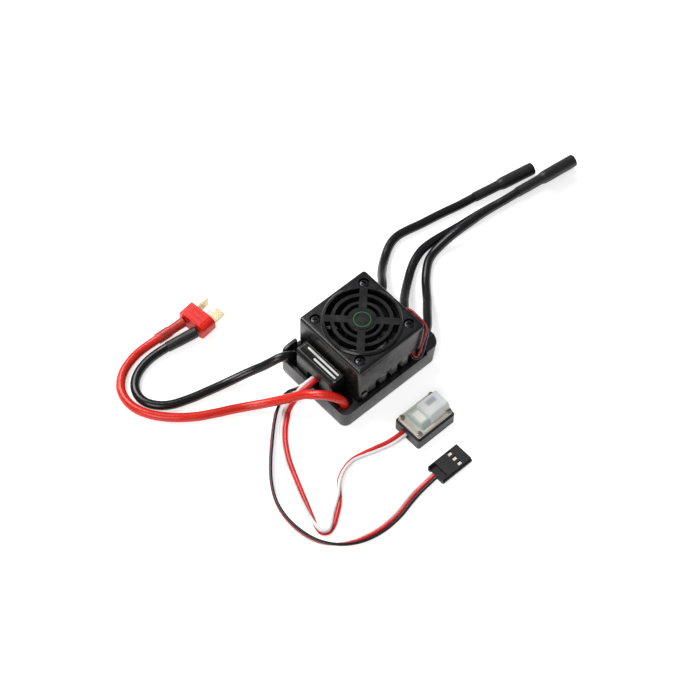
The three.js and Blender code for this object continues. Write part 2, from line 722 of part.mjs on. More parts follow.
function fanFrame() {
  const through = fanHeight + 2 * overrun;
  const bore = rod(fanBoreRadius, through, 2 * roundSteps).translate(0, 0, -overrun);
  const holes = corners(fanScrewPitch, fanScrewPitch).map(([x, y]) =>
    rod(fanHoleRadius, through, screwSteps).translate(x, y, -overrun));
  const frame = cut(roundedBlock(fanSize, fanSize, fanHeight, fanSize * fanCornerShare), bore, ...holes);
  const base = rod(fanSize * fanBaseShare, fanBaseThickness);
  const tube = rod(bearingTubeRadius, fanBaseThickness + bearingTubeHeight);
  const struts = [];
  for (let index = 0; index < strutCount; index += 1) {
    const strut = block(fanBoreRadius + overrun / 2, strutWidth, fanBaseThickness);
    struts.push(strut.translate(fanBoreRadius / 2, 0, 0).rotateZ(index * 2 * Math.PI / strutCount));
  }
  const tubeBore = rod(bearingRadius + slideGap, bearingTubeHeight + overrun)
    .translate(0, 0, fanBaseThickness);
  const solid = cut(joined(frame, base, tube, ...struts), tubeBore);
  return piece('fan_frame', solid, blackPlastic(), shroudCentreX, 0, fanBottom);
}

function fanBearing() {
  const bore = shaftRadius + slideGap;
  const sleeve = turned([
    [bore, 0], [bearingRadius, 0], [bearingRadius, bearingHeight], [bore, bearingHeight], [bore, 0],
  ], screwSteps);
  return piece('fan_bearing', sleeve, copper(), shroudCentreX, 0, fanBottom + fanBaseThickness);
}

function fanStator() {
  const through = statorHeight + 2 * overrun;
  const ring = cut(
    rod(statorRadius, statorHeight),
    rod(bearingTubeRadius + slideGap, through).translate(0, 0, -overrun),
  );
  const inner = bearingTubeRadius + statorSlotWidth;
  const slots = [];
  for (let index = 0; index < statorPoles; index += 1) {
    const slot = block(statorRadius, statorSlotWidth, through);
    const turn = (2 * index + 1) * Math.PI / statorPoles;
    slots.push(slot.translate(inner + statorRadius / 2, 0, -overrun).rotateZ(turn));
  }
  const bottom = fanBottom + fanBaseThickness + slideGap;
  return piece('fan_stator', cut(ring, ...slots), copper(), shroudCentreX, 0, bottom);
}

// One blade: a cambered strip that climbs as it goes round and widens towards its tip
function fanBlade() {
  const section = new THREE.Shape();
  const half = fanSize * bladeChordShare / 2;
  const rise = bladeHeight / 2;
  section.moveTo(-half, -rise);
  section.quadraticCurveTo(0, bladeCamber, half, rise - bladeThickness);
  section.lineTo(half, rise);
  section.quadraticCurveTo(0, bladeCamber + bladeThickness, -half, bladeThickness - rise);
  section.closePath();
  const rootRadius = hubRadius - bladeRootSink;
  const span = bladeTipRadius - rootRadius;
  const strip = new THREE.ExtrudeGeometry(section, {
    depth: span, bevelEnabled: false, curveSegments: cornerSteps, steps: 2,
  });
  strip.rotateX(Math.PI / 2).rotateZ(Math.PI / 2).translate(rootRadius, 0, 0);
  const place = strip.attributes.position;
  for (let index = 0; index < place.count; index += 1) {
    const share = (place.getX(index) - rootRadius) / span;
    place.setY(index, place.getY(index) * (1 + bladeTipFlareShare * share));
  }
  return strip.translate(0, 0, hubHeight / 2);
}

function fanRotor() {
  const cup = turned([
    [0, hubHeight - hubRoof], [hubRadius - hubWall, hubHeight - hubRoof], [hubRadius - hubWall, 0],
    [hubRadius, 0], [hubRadius, hubHeight - hubEdge], [hubRadius - hubEdge, hubHeight], [0, hubHeight],
  ], 2 * screwSteps);
  const sweep = rod(bladeTipRadius, hubHeight + 2 * overrun, 2 * roundSteps).translate(0, 0, -overrun);
  const blades = [];
  for (let index = 0; index < bladeCount; index += 1) {
    blades.push(common(fanBlade(), sweep).rotateZ(index * 2 * Math.PI / bladeCount));
  }
  return piece('fan_rotor', joined(cup, ...blades), satinBlack(), shroudCentreX, 0, rotorBottom);
}

function fanShaft() {
  const top = rotorBottom + hubHeight - hubRoof;
  const length = Math.min(shaftHeight, top - fanBottom - fanBaseThickness - slideGap);
  const shaft = rod(shaftRadius, length, screwSteps);
  return piece('fan_shaft', shaft, brightSteel(), shroudCentreX, 0, top - length);
}

// Fan guard: a plate with a raised disc of curved slots, and its screws

function slotHole(innerRadius, outerRadius, sector) {
  const middle = sector * 2 * Math.PI / slotSectors;
  const reach = Math.PI / slotSectors;
  const outerReach = reach - Math.asin(guardBarWidth / 2 / outerRadius);
  const innerReach = reach - Math.asin(guardBarWidth / 2 / innerRadius);
  const hole = new THREE.Path();
  const points = [];
  for (let step = 0; step <= slotSteps; step += 1) {
    const angle = middle - outerReach + step * 2 * outerReach / slotSteps;
    points.push(new THREE.Vector2(outerRadius * Math.cos(angle), outerRadius * Math.sin(angle)));
  }
  for (let step = 0; step <= slotSteps; step += 1) {
    const angle = middle + innerReach - step * 2 * innerReach / slotSteps;
    points.push(new THREE.Vector2(innerRadius * Math.cos(angle), innerRadius * Math.sin(angle)));
  }
  hole.setFromPoints(points);
  hole.closePath();
  return hole;
}

function fanGuard() {
  const discTop = guardThickness + guardDiscRise;
  const through = discTop + 2 * overrun;
  const opening = rod(guardDiscRadius - guardDiscRim, through, 2 * roundSteps).translate(0, 0, -overrun);
  const outline = roundedOutline(shroudLength, shroudWidth, shroudCorner);
  const eased = easedBlock(outline, guardThickness + guardEdge, guardEdge).translate(0, 0, -guardEdge);
  const plate = cut(common(eased, block(trayLength, trayWidth, guardThickness)), opening);
  const disc = turned([
    [0, guardDiscEdge], [guardDiscRadius, guardDiscEdge], [guardDiscRadius, discTop - guardDiscEdge],
    [guardDiscRadius - guardDiscEdge, discTop], [0, discTop],
  ], 2 * roundSteps);
  const slots = slotInnerShares.flatMap((innerShare, ring) => {
    const inner = guardDiscRadius * innerShare;
    const outer = guardDiscRadius * slotOuterShares[ring];
    return Array.from({ length: slotSectors }, (unused, sector) => {
      const shape = new THREE.Shape(slotHole(inner, outer, sector).getPoints());
      return prism(shape, through).translate(0, 0, -overrun);
    });
  });
  const screwCuts = corners(fanScrewPitch, fanScrewPitch).flatMap(([x, y]) => [
    rod(guardSinkRadius, discTop).translate(x, y, guardThickness - guardSinkDepth),
    rod(screwShankRadius + seatGap, through, screwSteps).translate(x, y, -overrun),
  ]);
  const solid = cut(joined(plate, disc), ...slots, ...screwCuts);
  return piece('fan_guard', solid, satinBlack(), shroudCentreX, 0, shroudTop);
}

function hubBadge() {
  const badge = rod(guardDiscRadius * hubBadgeShare, hubBadgeHeight);
  return piece('hub_badge', badge, blackPlastic(), shroudCentreX, 0, guardDiscTop);
}

function screwSolid(headRadius, headHeight, edge, shankRadius, shankLength) {
  return turned([
    [0, -shankLength], [shankRadius, -shankLength], [shankRadius, 0], [headRadius, 0],
    [headRadius, headHeight - edge], [headRadius - edge, headHeight], [0, headHeight],
  ], screwSteps);
}

function guardScrews() {
  const seat = guardTop - guardSinkDepth;
  const sizes = [screwHeadRadius, screwHeadHeight, screwHeadEdge, screwShankRadius, screwShankLength];
  return corners(fanScrewPitch, fanScrewPitch).map(([x, y], index) =>
    piece(`guard_screw_${index + 1}`, screwSolid(...sizes), screwSteel(), x + shroudCentreX, y, seat));
}

// Terminal cover with its label panel: a hood whose upper front edge is well rounded

function terminalCover() {
  const height = coverTop - boardTop;
  const half = coverLength / 2;
  const profile = new THREE.Shape();
  profile.moveTo(-half, 0);
  profile.lineTo(half, 0);
  profile.lineTo(half, height - coverEdge);
  profile.lineTo(half - coverEdge, height);
  profile.absarc(coverFrontRound - half, height - coverFrontRound, coverFrontRound, Math.PI / 2, Math.PI);
  profile.closePath();
  const bar = prism(profile, coverWidth, 2 * cornerSteps).rotateX(Math.PI / 2);
  bar.translate(0, coverWidth / 2, 0);
  const outline = roundedOutline(coverLength, coverWidth, coverCorner, coverEdge);
  const shell = common(bar, prism(outline, height));
  const cavity = block(coverLength - 2 * coverWall, coverWidth - 2 * coverWall, height - coverRoof + overrun)
    .translate(0, 0, -overrun);
  const notch = block(2 * coverWall + overrun, notchWidth, notchTop - trayHeight)
    .translate(-half, notchCentreY - coverCentreY, trayHeight - boardTop);
  const solid = cut(shell, cavity, notch);
  return piece('terminal_cover', solid, satinBlack(), coverCentreX, coverCentreY, boardTop);
}

function labelPanel() {
  const length = coverLength - coverFrontRound / 2 - labelMargin;
  const width = coverWidth - 2 * labelMargin;
  const panel = roundedBlock(length, width, labelThickness, labelCorner);
  const middle = coverFront + coverLength - labelMargin - length / 2;
  return piece('label_panel', panel, blackPlastic(), middle, coverCentreY, coverTop);
}

// Wires

// A battery wire's first points, measured from the tray's front corner on its own side
function fromFrontCorner(points, side) {
  return points.map(([x, y, z]) => [trayFront + x, side * (trayWidth / 2 - y), z]);
}

function fromMotorBore(points, index) {
  return points.map(([x, y, z]) => [trayRear + x, motorBoreY(index) + y, z]);
}

function fromTrayFront(points) {
  return points.map(([x, y, z, turn]) => [trayFront + x, y, z, turn]);
}

// A fan lead over the shroud's corner, through the side vent and in between the last two fins
function fanLeadPath(route, endHeight) {
  const rear = shroudCentreX + shroudLength / 2;
  const side = -shroudWidth / 2;
  const outside = route.map(([x, y, z]) => [rear + x, side + y, z]);
  const finGap = finPitch - finThickness;
  const endX = shroudCentreX + sinkLength / 2 - finThickness - finGap / 2;
  return [
    ...outside,
    [endX, side - fanLeadRadius, endHeight - fanLeadEndRise],
    [endX, side + fanLeadEndDepth, endHeight],
  ];
}

function tubeAlong(route, radius, step) {
  const places = route.map((point) => new THREE.Vector3(...point));
  const curve = new THREE.CatmullRomCurve3(places, false, 'centripetal');
  const section = new THREE.Shape();
  for (let side = 0; side < tubeSides; side += 1) {
    const angle = (2 * side + 1) * Math.PI / tubeSides;
    const x = radius * Math.cos(angle);
    const y = radius * Math.sin(angle);
    if (side === 0) {
      section.moveTo(x, y);
    } else {
      section.lineTo(x, y);
    }
  }
  section.closePath();
  const steps = Math.round(curve.getLength() / step);
  return new THREE.ExtrudeGeometry(section, { steps, extrudePath: curve, curveSegments: 1 });
}

// Centre line of one conductor of a flat lead, offset from the lead's own route and turned with it
function conductorRoute(route, offset) {
  const places = route.map(([x, y, z]) => new THREE.Vector3(x, y, z));
  return places.map((place, index) => {
    const before = places[Math.max(index - 1, 0)];
    const after = places[Math.min(index + 1, places.length - 1)];
    const heading = after.clone().sub(before).normalize();
    const aside = new THREE.Vector3(heading.y, -heading.x, 0).normalize();
    const above = aside.clone().cross(heading);
    const angle = THREE.MathUtils.degToRad(route[index][3]);
    const moved = place.clone().addScaledVector(aside, offset * Math.cos(angle));
    return moved.addScaledVector(above, offset * Math.sin(angle)).toArray();
  });
}

function flatLead(names, route, radius, pitch, finishes) {
  return names.map((name, index) => {
    const offset = ((names.length - 1) / 2 - index) * pitch;
    return piece(name, tubeAlong(conductorRoute(route, offset), radius, thinTubeStep), finishes[index]);
  });
}

// Battery plug

function batteryPlug() {
  const plug = new THREE.Group();
  plug.position.set(plugCentre[0], plugCentre[1], plugThickness / 2);
  plug.rotation.z = THREE.MathUtils.degToRad(plugYawDegrees);
  const tailX = plugWidth / 2 - plugCorner;
  const tailY = plugThickness / 2 - plugCorner;
  const noseX = plugWidth / 2 - plugNoseCorner;
  const noseY = plugThickness / 2 - plugNoseCorner;
  const outline = new THREE.Shape();
  outline.absarc(noseX, noseY, plugNoseCorner, 0, Math.PI / 2);
  outline.absarc(-tailX, tailY, plugCorner, Math.PI / 2, Math.PI);
  outline.absarc(-tailX, -tailY, plugCorner, Math.PI, 1.5 * Math.PI);
  outline.absarc(noseX, -noseY, plugNoseCorner, 1.5 * Math.PI, 2 * Math.PI);
  const bar = prism(outline, plugDepth).rotateX(Math.PI / 2).rotateZ(-Math.PI / 2);
  const body = bar.translate(plugDepth / 2, 0, 0);
  const ribs = [];
  for (let index = 0; index < plugRibCount; index += 1) {
    const rib = block(plugRibDepth, plugWidth - 2 * plugNoseCorner, plugRibHeight);
    const place = (index - (plugRibCount - 1) / 2) * 2 * plugRibDepth;
    ribs.push(rib.translate(place, 0, (plugThickness - plugRibHeight) / 2));
  }
  const bladeSlots = [-1, 1].map((side) => plugBlade(side, slideGap));
  plug.add(piece('battery_plug_body', cut(joined(body, ...ribs), ...bladeSlots), plugRed()));
  plug.add(piece('battery_plug_blade_positive', plugBlade(1, 0), gold()));
  plug.add(piece('battery_plug_blade_negative', plugBlade(-1, 0), gold()));
  return plug;
}

// A contact blade: the positive one stands upright and the negative one lies flat
function plugBlade(side, play) {
  const upright = side > 0;
  const width = (upright ? bladeGauge : bladeWidth) + 2 * play;
  const height = (upright ? bladeWidth : bladeGauge) + 2 * play;
  const length = bladeLength + plugDepth / 2 + play;
  const strip = new THREE.BoxGeometry(length, width, height);
  return strip.translate(plugDepth / 2 + bladeLength - length / 2, side * plugTerminalPitch / 2, 0);
}

function batterySleeve(name, from, to, material) {
  const length = new THREE.Vector3(...to).distanceTo(new THREE.Vector3(...from));
  const solid = turned([
    [0, 0], [batterySleeveRadius - batterySleeveWall, 0], [batterySleeveRadius, batterySleeveTurn],
    [batterySleeveRadius, length], [0, length],
  ], screwSteps);
  return layBetween(piece(name, solid, material), from, to);
}

// Motor wire connectors

function motorSleeve() {
  const inner = motorSleeveRadius - motorSleeveWall;
  const bulletEnd = motorSleeveLength - bulletLength;
  return turned([
    [0, 0], [motorNeckRadius, 0], [motorNeckRadius, motorNeckLength],
    [motorSleeveRadius, motorNeckLength + motorShoulder], [motorSleeveRadius, motorSleeveLength],
    [inner, motorSleeveLength], [inner, bulletEnd], [0, bulletEnd],
  ], screwSteps);
}

function bulletSocket() {
  const mouth = bulletLength - seatGap;
  const bottom = bulletLength - bulletDepth;
  return turned([
    [0, 0], [bulletRadius, 0], [bulletRadius, mouth], [bulletBore, mouth], [bulletBore, bottom], [0, bottom],
  ], screwSteps);
}

function motorConnectors() {
  const pieces = [];
  ['a', 'b', 'c'].forEach((letter, index) => {
    const from = motorSleeveStarts[index];
    const to = motorSleeveEnds[index];
    pieces.push(layBetween(piece(`motor_sleeve_${letter}`, motorSleeve(), shrinkBlack()), from, to));
    const socket = bulletSocket().translate(0, 0, motorSleeveLength - bulletLength);
    pieces.push(layBetween(piece(`motor_bullet_${letter}`, socket, gold()), from, to));
  });
  return pieces;
}

// Power switch

function switchCase() {
  const wallHeight = switchCaseHeight - switchFloor;
  const cavity = block(switchLength - 2 * switchWall, switchWidth - 2 * switchWall, wallHeight + overrun)
    .translate(0, 0, switchFloor);
  const shell = cut(roundedBlock(switchLength, switchWidth, switchCaseHeight, switchCorner), cavity);
  const posts = corners(switchScrewPitchX, switchScrewPitchY).map(([x, y]) =>
    block(switchPostSize, switchPostSize, switchCaseHeight).translate(x, y, 0));
  const holes = corners(switchScrewPitchX, switchScrewPitchY).map(([x, y]) =>
    rod(switchScrewHoleRadius, wallHeight + overrun, tubeSides).translate(x, y, switchFloor));
  const leadSlot = block(2 * switchWall + overrun, switchLeadSlotWidth, switchLeadSlotHeight)
    .translate(-switchLength / 2, switchLeadSlotY, switchFloor);
  return piece('switch_case', cut(joined(shell, ...posts), ...holes, leadSlot), blackPlastic());
}

function switchBody() {
  return piece('switch_body', block(switchBodyLength, switchBodyWidth, switchBodyHeight), brightSteel(),
    0, 0, switchFloor);
}

function switchSlider() {
  return piece('switch_slider', block(sliderLength, sliderWidth, sliderHeight), whiteRubber(),
    sliderStart + sliderTravel / 2, 0, switchFloor + switchBodyHeight + slideGap);
}

function switchHood() {
  const length = switchLength - 2 * switchHoodInset;
  const width = switchWidth - 2 * switchHoodInset;
  const plate = roundedBlock(length, width, switchHoodThickness, switchCorner);
  const top = switchHoodThickness + hoodDomeHeight;
  const dome = roundedBlock(hoodDomeLength, hoodDomeWidth, top, hoodDomeCorner);
  const step = roundedBlock(hoodStepLength, hoodDomeWidth, top + hoodStepRise, hoodDomeCorner)
    .translate((hoodStepLength - hoodDomeLength) / 2, 0, 0);
  const hollowLength = hoodDomeLength - 2 * hoodDomeWall;
  const hollowWidth = hoodDomeWidth - 2 * hoodDomeWall;
  const hollow = block(hollowLength, hollowWidth, top - hoodDomeWall + overrun).translate(0, 0, -overrun);
  const holes = corners(switchScrewPitchX, switchScrewPitchY).map(([x, y]) =>
    rod(switchScrewHoleRadius, top + 2 * overrun, tubeSides).translate(x, y, -overrun));
  const solid = cut(joined(plate, dome, step), hollow, ...holes);
  return piece('switch_hood', solid, clearPlastic(), 0, 0, switchCaseHeight);
}

function switchScrews() {
  const seat = switchCaseHeight + switchHoodThickness;
  const head = [switchScrewHeadRadius, switchScrewHeadHeight, slideGap];
  const shank = [switchScrewShankRadius, switchScrewShankLength];
  return corners(switchScrewPitchX, switchScrewPitchY).map(([x, y], index) =>
    piece(`switch_screw_${index + 1}`, screwSolid(...head, ...shank), brightSteel(), x, y, seat));
}

function powerSwitch() {
  const assembly = new THREE.Group();
  assembly.position.set(switchCentre[0], switchCentre[1], 0);
  assembly.add(switchCase(), switchBody(), switchSlider(), switchHood(), ...switchScrews());
  return assembly;
}

// Receiver plug

function receiverPlug() {
  const plug = new THREE.Group();
  plug.position.set(receiverPlugCentre[0], receiverPlugCentre[1], 0);
  const body = block(receiverPlugLength, receiverPlugWidth, receiverPlugHeight);
  const key = block(receiverPlugLength, receiverKeyWidth, receiverKeyHeight)
    .translate(0, -(receiverPlugWidth + receiverKeyWidth) / 2, (receiverPlugHeight - receiverKeyHeight) / 2);
  const tailWidth = receiverPins * receiverPitch - receiverWindowDepth;
  const tailX = (receiverTailLength - overrun - receiverPlugLength) / 2;
  const tail = block(receiverTailLength + overrun, tailWidth, receiverTailDepth + overrun)
    .translate(tailX, 0, receiverPlugHeight - receiverTailDepth);
  const windowX = receiverPlugLength / 2 - receiverWindowFromTip;
  const windowFloor = receiverPlugHeight - receiverWindowDepth;
  const cuts = [tail];
  const contacts = [];
  for (let index = 0; index < receiverPins; index += 1) {
    const y = (index - (receiverPins - 1) / 2) * receiverPitch;
    cuts.push(block(receiverWindowLength, receiverWindowWidth, receiverWindowDepth + overrun)
      .translate(windowX, y, windowFloor));
    cuts.push(block(2 * receiverPitch, receiverBore, receiverBore)
      .translate(receiverPlugLength / 2, y, (receiverPlugHeight - receiverBore) / 2));
    const contact = block(contactLength, contactWidth, contactHeight);
    contacts.push(piece(`receiver_contact_${index + 1}`, contact, brightSteel(), windowX, y, windowFloor));
  }
  plug.add(piece('receiver_plug', cut(joined(body, key), ...cuts), blackPlastic()), ...contacts);
  return plug;
}

// The whole controller

function fanAssembly() {
  return [fanFrame(), fanBearing(), fanStator(), fanRotor(), fanShaft()];
}

function caseAssembly() {
  return [
    baseTray(), circuitBoard(), ...powerTransistors(), thermalPad(), ...capacitors(), heatSink(), fanShroud(),
    fanGuard(), hubBadge(), ...guardScrews(), terminalCover(), labelPanel(),
  ];
}

function wireAssembly() {
  const redRoute = [...fromFrontCorner(redWireRise, -1), ...redWireRoute];
  const blackRoute = [...fromFrontCorner(blackWireRise, 1), ...blackWireRoute];
  const switchRoute = [...fromTrayFront(switchLeadStart), ...switchLeadRoute];
  const receiverRoute = [...fromTrayFront(receiverLeadStart), ...receiverLeadRoute];
  const motorWires = motorWireRoutes.map((route, index) => {
    const whole = [...fromMotorBore(motorWireStarts[index], index), ...route];
    const wire = tubeAlong(whole, powerWireRadius, powerTubeStep);
    return piece(`motor_wire_${'abc'[index]}`, wire, blackRubber());
  });
  const fanLeads = fanLeadRoutes.map((route, index) => {
    const colour = index === 0 ? redRubber() : blackRubber();
    const lead = tubeAlong(fanLeadPath(route, fanLeadEndHeights[index]), fanLeadRadius, fanTubeStep);
    return piece(['fan_lead_red', 'fan_lead_black'][index], lead, colour);
  });
  return [
    piece('battery_wire_red', tubeAlong(redRoute, powerWireRadius, powerTubeStep), redRubber()),
    piece('battery_wire_black', tubeAlong(blackRoute, powerWireRadius, powerTubeStep), blackRubber()),
    batterySleeve('battery_sleeve_red', redSleeveStart, redSleeveEnd, shrinkRed()),
    batterySleeve('battery_sleeve_black', blackSleeveStart, blackSleeveEnd, shrinkBlack()),
    ...motorWires,
    ...fanLeads,
    ...flatLead(['switch_wire_white', 'switch_wire_red'], switchRoute, switchConductorRadius,
      switchConductorPitch, [whiteRubber(), redRubber()]),
    ...flatLead(['receiver_wire_white', 'receiver_wire_red', 'receiver_wire_black'], receiverRoute,
      receiverConductorRadius, receiverConductorPitch, [whiteRubber(), redRubber(), blackRubber()]),
  ];
}

const controller = new THREE.Group();
controller.name = 'speed_controller';
controller.add(...caseAssembly(), ...fanAssembly(), ...wireAssembly());
controller.add(batteryPlug(), ...motorConnectors(), powerSwitch(), receiverPlug());

export default controller;
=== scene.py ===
import json
import bpy
import bmesh
import numpy as np
from mathutils import Matrix, Vector

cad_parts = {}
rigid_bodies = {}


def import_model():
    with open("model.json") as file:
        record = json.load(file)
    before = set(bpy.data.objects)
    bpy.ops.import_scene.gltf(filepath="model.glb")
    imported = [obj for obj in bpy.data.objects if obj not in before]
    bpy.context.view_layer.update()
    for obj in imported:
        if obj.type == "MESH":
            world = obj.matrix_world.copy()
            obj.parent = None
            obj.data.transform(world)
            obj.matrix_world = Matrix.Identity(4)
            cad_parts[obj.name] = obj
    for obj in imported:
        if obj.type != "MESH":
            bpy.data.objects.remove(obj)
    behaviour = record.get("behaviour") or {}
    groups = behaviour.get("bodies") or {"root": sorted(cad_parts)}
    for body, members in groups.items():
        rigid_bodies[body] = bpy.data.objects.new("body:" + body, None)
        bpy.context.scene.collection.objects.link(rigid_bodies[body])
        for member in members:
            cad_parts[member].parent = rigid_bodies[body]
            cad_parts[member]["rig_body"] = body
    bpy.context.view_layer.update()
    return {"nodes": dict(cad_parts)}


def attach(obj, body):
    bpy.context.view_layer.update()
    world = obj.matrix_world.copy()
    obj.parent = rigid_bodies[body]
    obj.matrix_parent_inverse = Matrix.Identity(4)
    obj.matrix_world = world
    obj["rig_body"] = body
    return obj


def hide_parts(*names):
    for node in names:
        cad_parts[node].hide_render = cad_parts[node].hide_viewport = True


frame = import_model()
mm = 0.001  # every length below is in millimetres until it goes into a mesh
print("frame loaded:", len(frame["nodes"]), "nodes")


# camera of the photograph, fitted to the corners of the case

photoView = {"azimuth": -43.636, "elevation": 57.027, "roll": 1.532, "distance": 900.0,
             "target": (2.372, 6.398, 0.0), "lens": 124.43, "clip": (0.05, 20)}


def placeCamera():
    # stands back from the target along azimuth and elevation, then rolls about the line of sight
    azimuth, elevation, roll = np.radians([photoView[k] for k in ("azimuth", "elevation", "roll")])
    level = np.cos(elevation)
    back = Vector((np.sin(azimuth) * level, -np.cos(azimuth) * level, np.sin(elevation)))
    aside = (-back).cross(Vector((0, 0, 1))).normalized()
    upright = aside.cross(-back)
    right = np.cos(roll) * aside + np.sin(roll) * upright
    up = np.cos(roll) * upright - np.sin(roll) * aside
    camera = bpy.data.objects.new("camera", bpy.data.cameras.new("camera"))
    bpy.context.scene.collection.objects.link(camera)
    turn = Matrix((right, up, back)).transposed().to_4x4()
    place = (Vector(photoView["target"]) + back * photoView["distance"]) * mm
    camera.matrix_world = Matrix.Translation(place) @ turn
    camera.data.lens = photoView["lens"]
    camera.data.clip_start, camera.data.clip_end = photoView["clip"]
    bpy.context.scene.camera = camera


placeCamera()


# surfaces: a grid of rows and columns of points, closed round the columns, goes into a mesh

def skin(name, grid, finish, stations=None, ring=False, crease=40):
    # rows times columns of points in millimetres become quads, the last column joins the first, and the
    # end rows are closed by one face each, or by each other when the grid is a ring
    rows, columns = grid.shape[:2]
    index = np.arange(rows * columns).reshape(rows, columns)
    if ring:
        index = np.vstack([index, index[:1]])
    across = np.roll(index, -1, axis=1)
    quads = np.stack([index[:-1], across[:-1], across[1:], index[1:]], axis=-1).reshape(-1, 4)
    faces = quads.tolist()
    if not ring:
        faces += [index[0][::-1].tolist(), index[-1].tolist()]
    mesh = bpy.data.meshes.new(name)
    mesh.from_pydata((grid.reshape(-1, 3) * mm).tolist(), [], faces)
    along = np.linspace(0, 1, index.shape[0]) if stations is None else np.asarray(stations) * mm
    u = np.broadcast_to(along[:, None], index.shape)
    v = np.broadcast_to(np.arange(columns) / columns, index.shape)
    corners = [(u[:-1], v[:-1]), (u[:-1], v[:-1] + 1 / columns), (u[1:], v[1:] + 1 / columns), (u[1:], v[1:])]
    uv = np.stack([np.stack(corner, axis=-1) for corner in corners], axis=2).reshape(-1, 2)
    spare = len(mesh.loops) - len(uv)
    layer = mesh.uv_layers.new(name="around")
    layer.data.foreach_set("uv", np.vstack([uv, np.zeros((spare, 2))]).astype(np.float32).ravel())
    return asPiece(name, mesh, finish, crease)


def asPiece(name, mesh, finish, crease, body="case"):
    # a mesh with its faces outwards, smooth except across creases, rides on its CAD body
    shell = bmesh.new()
    shell.from_mesh(mesh)
    bmesh.ops.recalc_face_normals(shell, faces=shell.faces)
    shell.to_mesh(mesh)
    shell.free()
    mesh.polygons.foreach_set("use_smooth", np.ones(len(mesh.polygons), bool))
    mesh.set_sharp_from_angle(angle=np.radians(crease))
    mesh.materials.append(finish)
    piece = bpy.data.objects.new(name, mesh)
    bpy.context.scene.collection.objects.link(piece)
    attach(piece, body)
    return piece


def smoothLine(points, perSpan=6):
    # centripetal Catmull-Rom line through the points, every span a cubic in its own share of the way
    p = np.asarray(points, float)
    before = np.vstack([2 * p[0] - p[1], p[:-2]])
    after = np.vstack([p[2:], 2 * p[-1] - p[-2]])
    start, end = p[:-1], p[1:]
    gap = [np.sqrt(np.linalg.norm(d, axis=1))[:, None] for d in (start - before, end - start, after - end)]
    leave = ((start - before) / gap[0] - (end - before) / (gap[0] + gap[1]) + (end - start) / gap[1]) * gap[1]
    arrive = ((end - start) / gap[1] - (after - start) / (gap[1] + gap[2]) + (after - end) / gap[2]) * gap[1]
    t = (np.arange(perSpan) / perSpan)[None, :, None]
    a, b, m, n = (x[:, None, :] for x in (start, end, leave, arrive))
    line = a + m * t + (3 * (b - a) - 2 * m - n) * t ** 2 + (2 * (a - b) + m + n) * t ** 3
    return np.vstack([line.reshape(-1, 3), p[-1:]])


def lineFrame(line, lean=(0, 0, 1)):
    # heading at every point, with one direction aside and one above it, level with the lean
    heading = np.gradient(line, axis=0)
    heading /= np.linalg.norm(heading, axis=1)[:, None]
    aside = np.cross(heading, np.asarray(lean, float))
    aside /= np.linalg.norm(aside, axis=1)[:, None]
    return heading, aside, np.cross(aside, heading)


def lineLengths(line):
    return np.concatenate([[0], np.cumsum(np.linalg.norm(np.diff(line, axis=0), axis=1))])


def tube(name, line, radius, finish, sides=20, lean=(0, 0, 1)):
    # a circle of the radius at each point of the line, square to the way it runs
    heading, aside, above = lineFrame(line, lean)
    angle = np.linspace(0, 2 * np.pi, sides, endpoint=False)
    radius = np.broadcast_to(np.asarray(radius, float).reshape(-1, 1, 1), (len(line), 1, 1))
    cosine, sine = np.cos(angle)[None, :, None], np.sin(angle)[None, :, None]
    circle = cosine * aside[:, None, :] + sine * above[:, None, :]
    return skin(name, line[:, None, :] + radius * circle, finish, lineLengths(line), crease=60)


def turned(name, profile, start, end, finish, swell=None, sides=32):
    # a profile of distance along and radius pairs, spun round the line from start to end, with the radius
    # scaled by the swell, a function of the distance and the angle
    start, end = np.asarray(start, float), np.asarray(end, float)
    heading = (end - start) / np.linalg.norm(end - start)
    aside = np.cross(heading, (0.0, 0.0, 1.0) if abs(heading[2]) < 0.9 else (1.0, 0.0, 0.0))
    aside /= np.linalg.norm(aside)
    above = np.cross(aside, heading)
    reach, radius = np.asarray(profile, float).T
    angle = np.linspace(0, 2 * np.pi, sides, endpoint=False)
    radius = radius[:, None] * np.ones(sides)
    if swell:
        radius = radius * swell(reach[:, None], angle[None, :])
    circle = np.cos(angle)[:, None] * aside + np.sin(angle)[:, None] * above
    grid = start + reach[:, None, None] * heading + radius[..., None] * circle[None]
    return skin(name, grid, finish, reach, crease=35)


def denser(profile, step):
    # the same profile with a point at least every step along it
    profile = np.asarray(profile, float)
    way = lineLengths(profile)
    places = np.unique(np.concatenate([way, np.arange(0, way[-1], step)]))
    return np.stack([np.interp(places, way, profile[:, k]) for k in (0, 1)], axis=-1)


def roundedCopy(node, edge, finish, angle=35, segments=3):
    # a merged copy of a CAD node whose sharp edges are rounded by a bevel, standing for the node
    source = frame["nodes"][node]
    mesh = source.data.copy()
    mesh.name = node + "_dressed"
    for name in [a.name for a in mesh.attributes if a.name == "custom_normal"]:
        mesh.attributes.remove(mesh.attributes[name])
    solid = bmesh.new()
    solid.from_mesh(mesh)
    bmesh.ops.remove_doubles(solid, verts=solid.verts, dist=2e-6)
    bmesh.ops.dissolve_limit(solid, angle_limit=np.radians(0.5), verts=solid.verts, edges=solid.edges)
    solid.to_mesh(mesh)
    solid.free()
    mesh.materials.clear()
    piece = asPiece(mesh.name, mesh, finish, angle, source["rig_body"])
    rounding = piece.modifiers.new("edges", "BEVEL")
    rounding.width = edge * mm
    rounding.segments = segments
    rounding.limit_method = "ANGLE"
    rounding.angle_limit = np.radians(angle)
    rounding.harden_normals = True
    rounding.use_clamp_overlap = True
    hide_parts(node)
    return piece


def dress(finish, *nodes):
    # a CAD node that keeps its own shape gets a better finish
    for node in nodes:
        mesh = frame["nodes"][node].data
        mesh.materials.clear()
        mesh.materials.append(finish)


# finishes

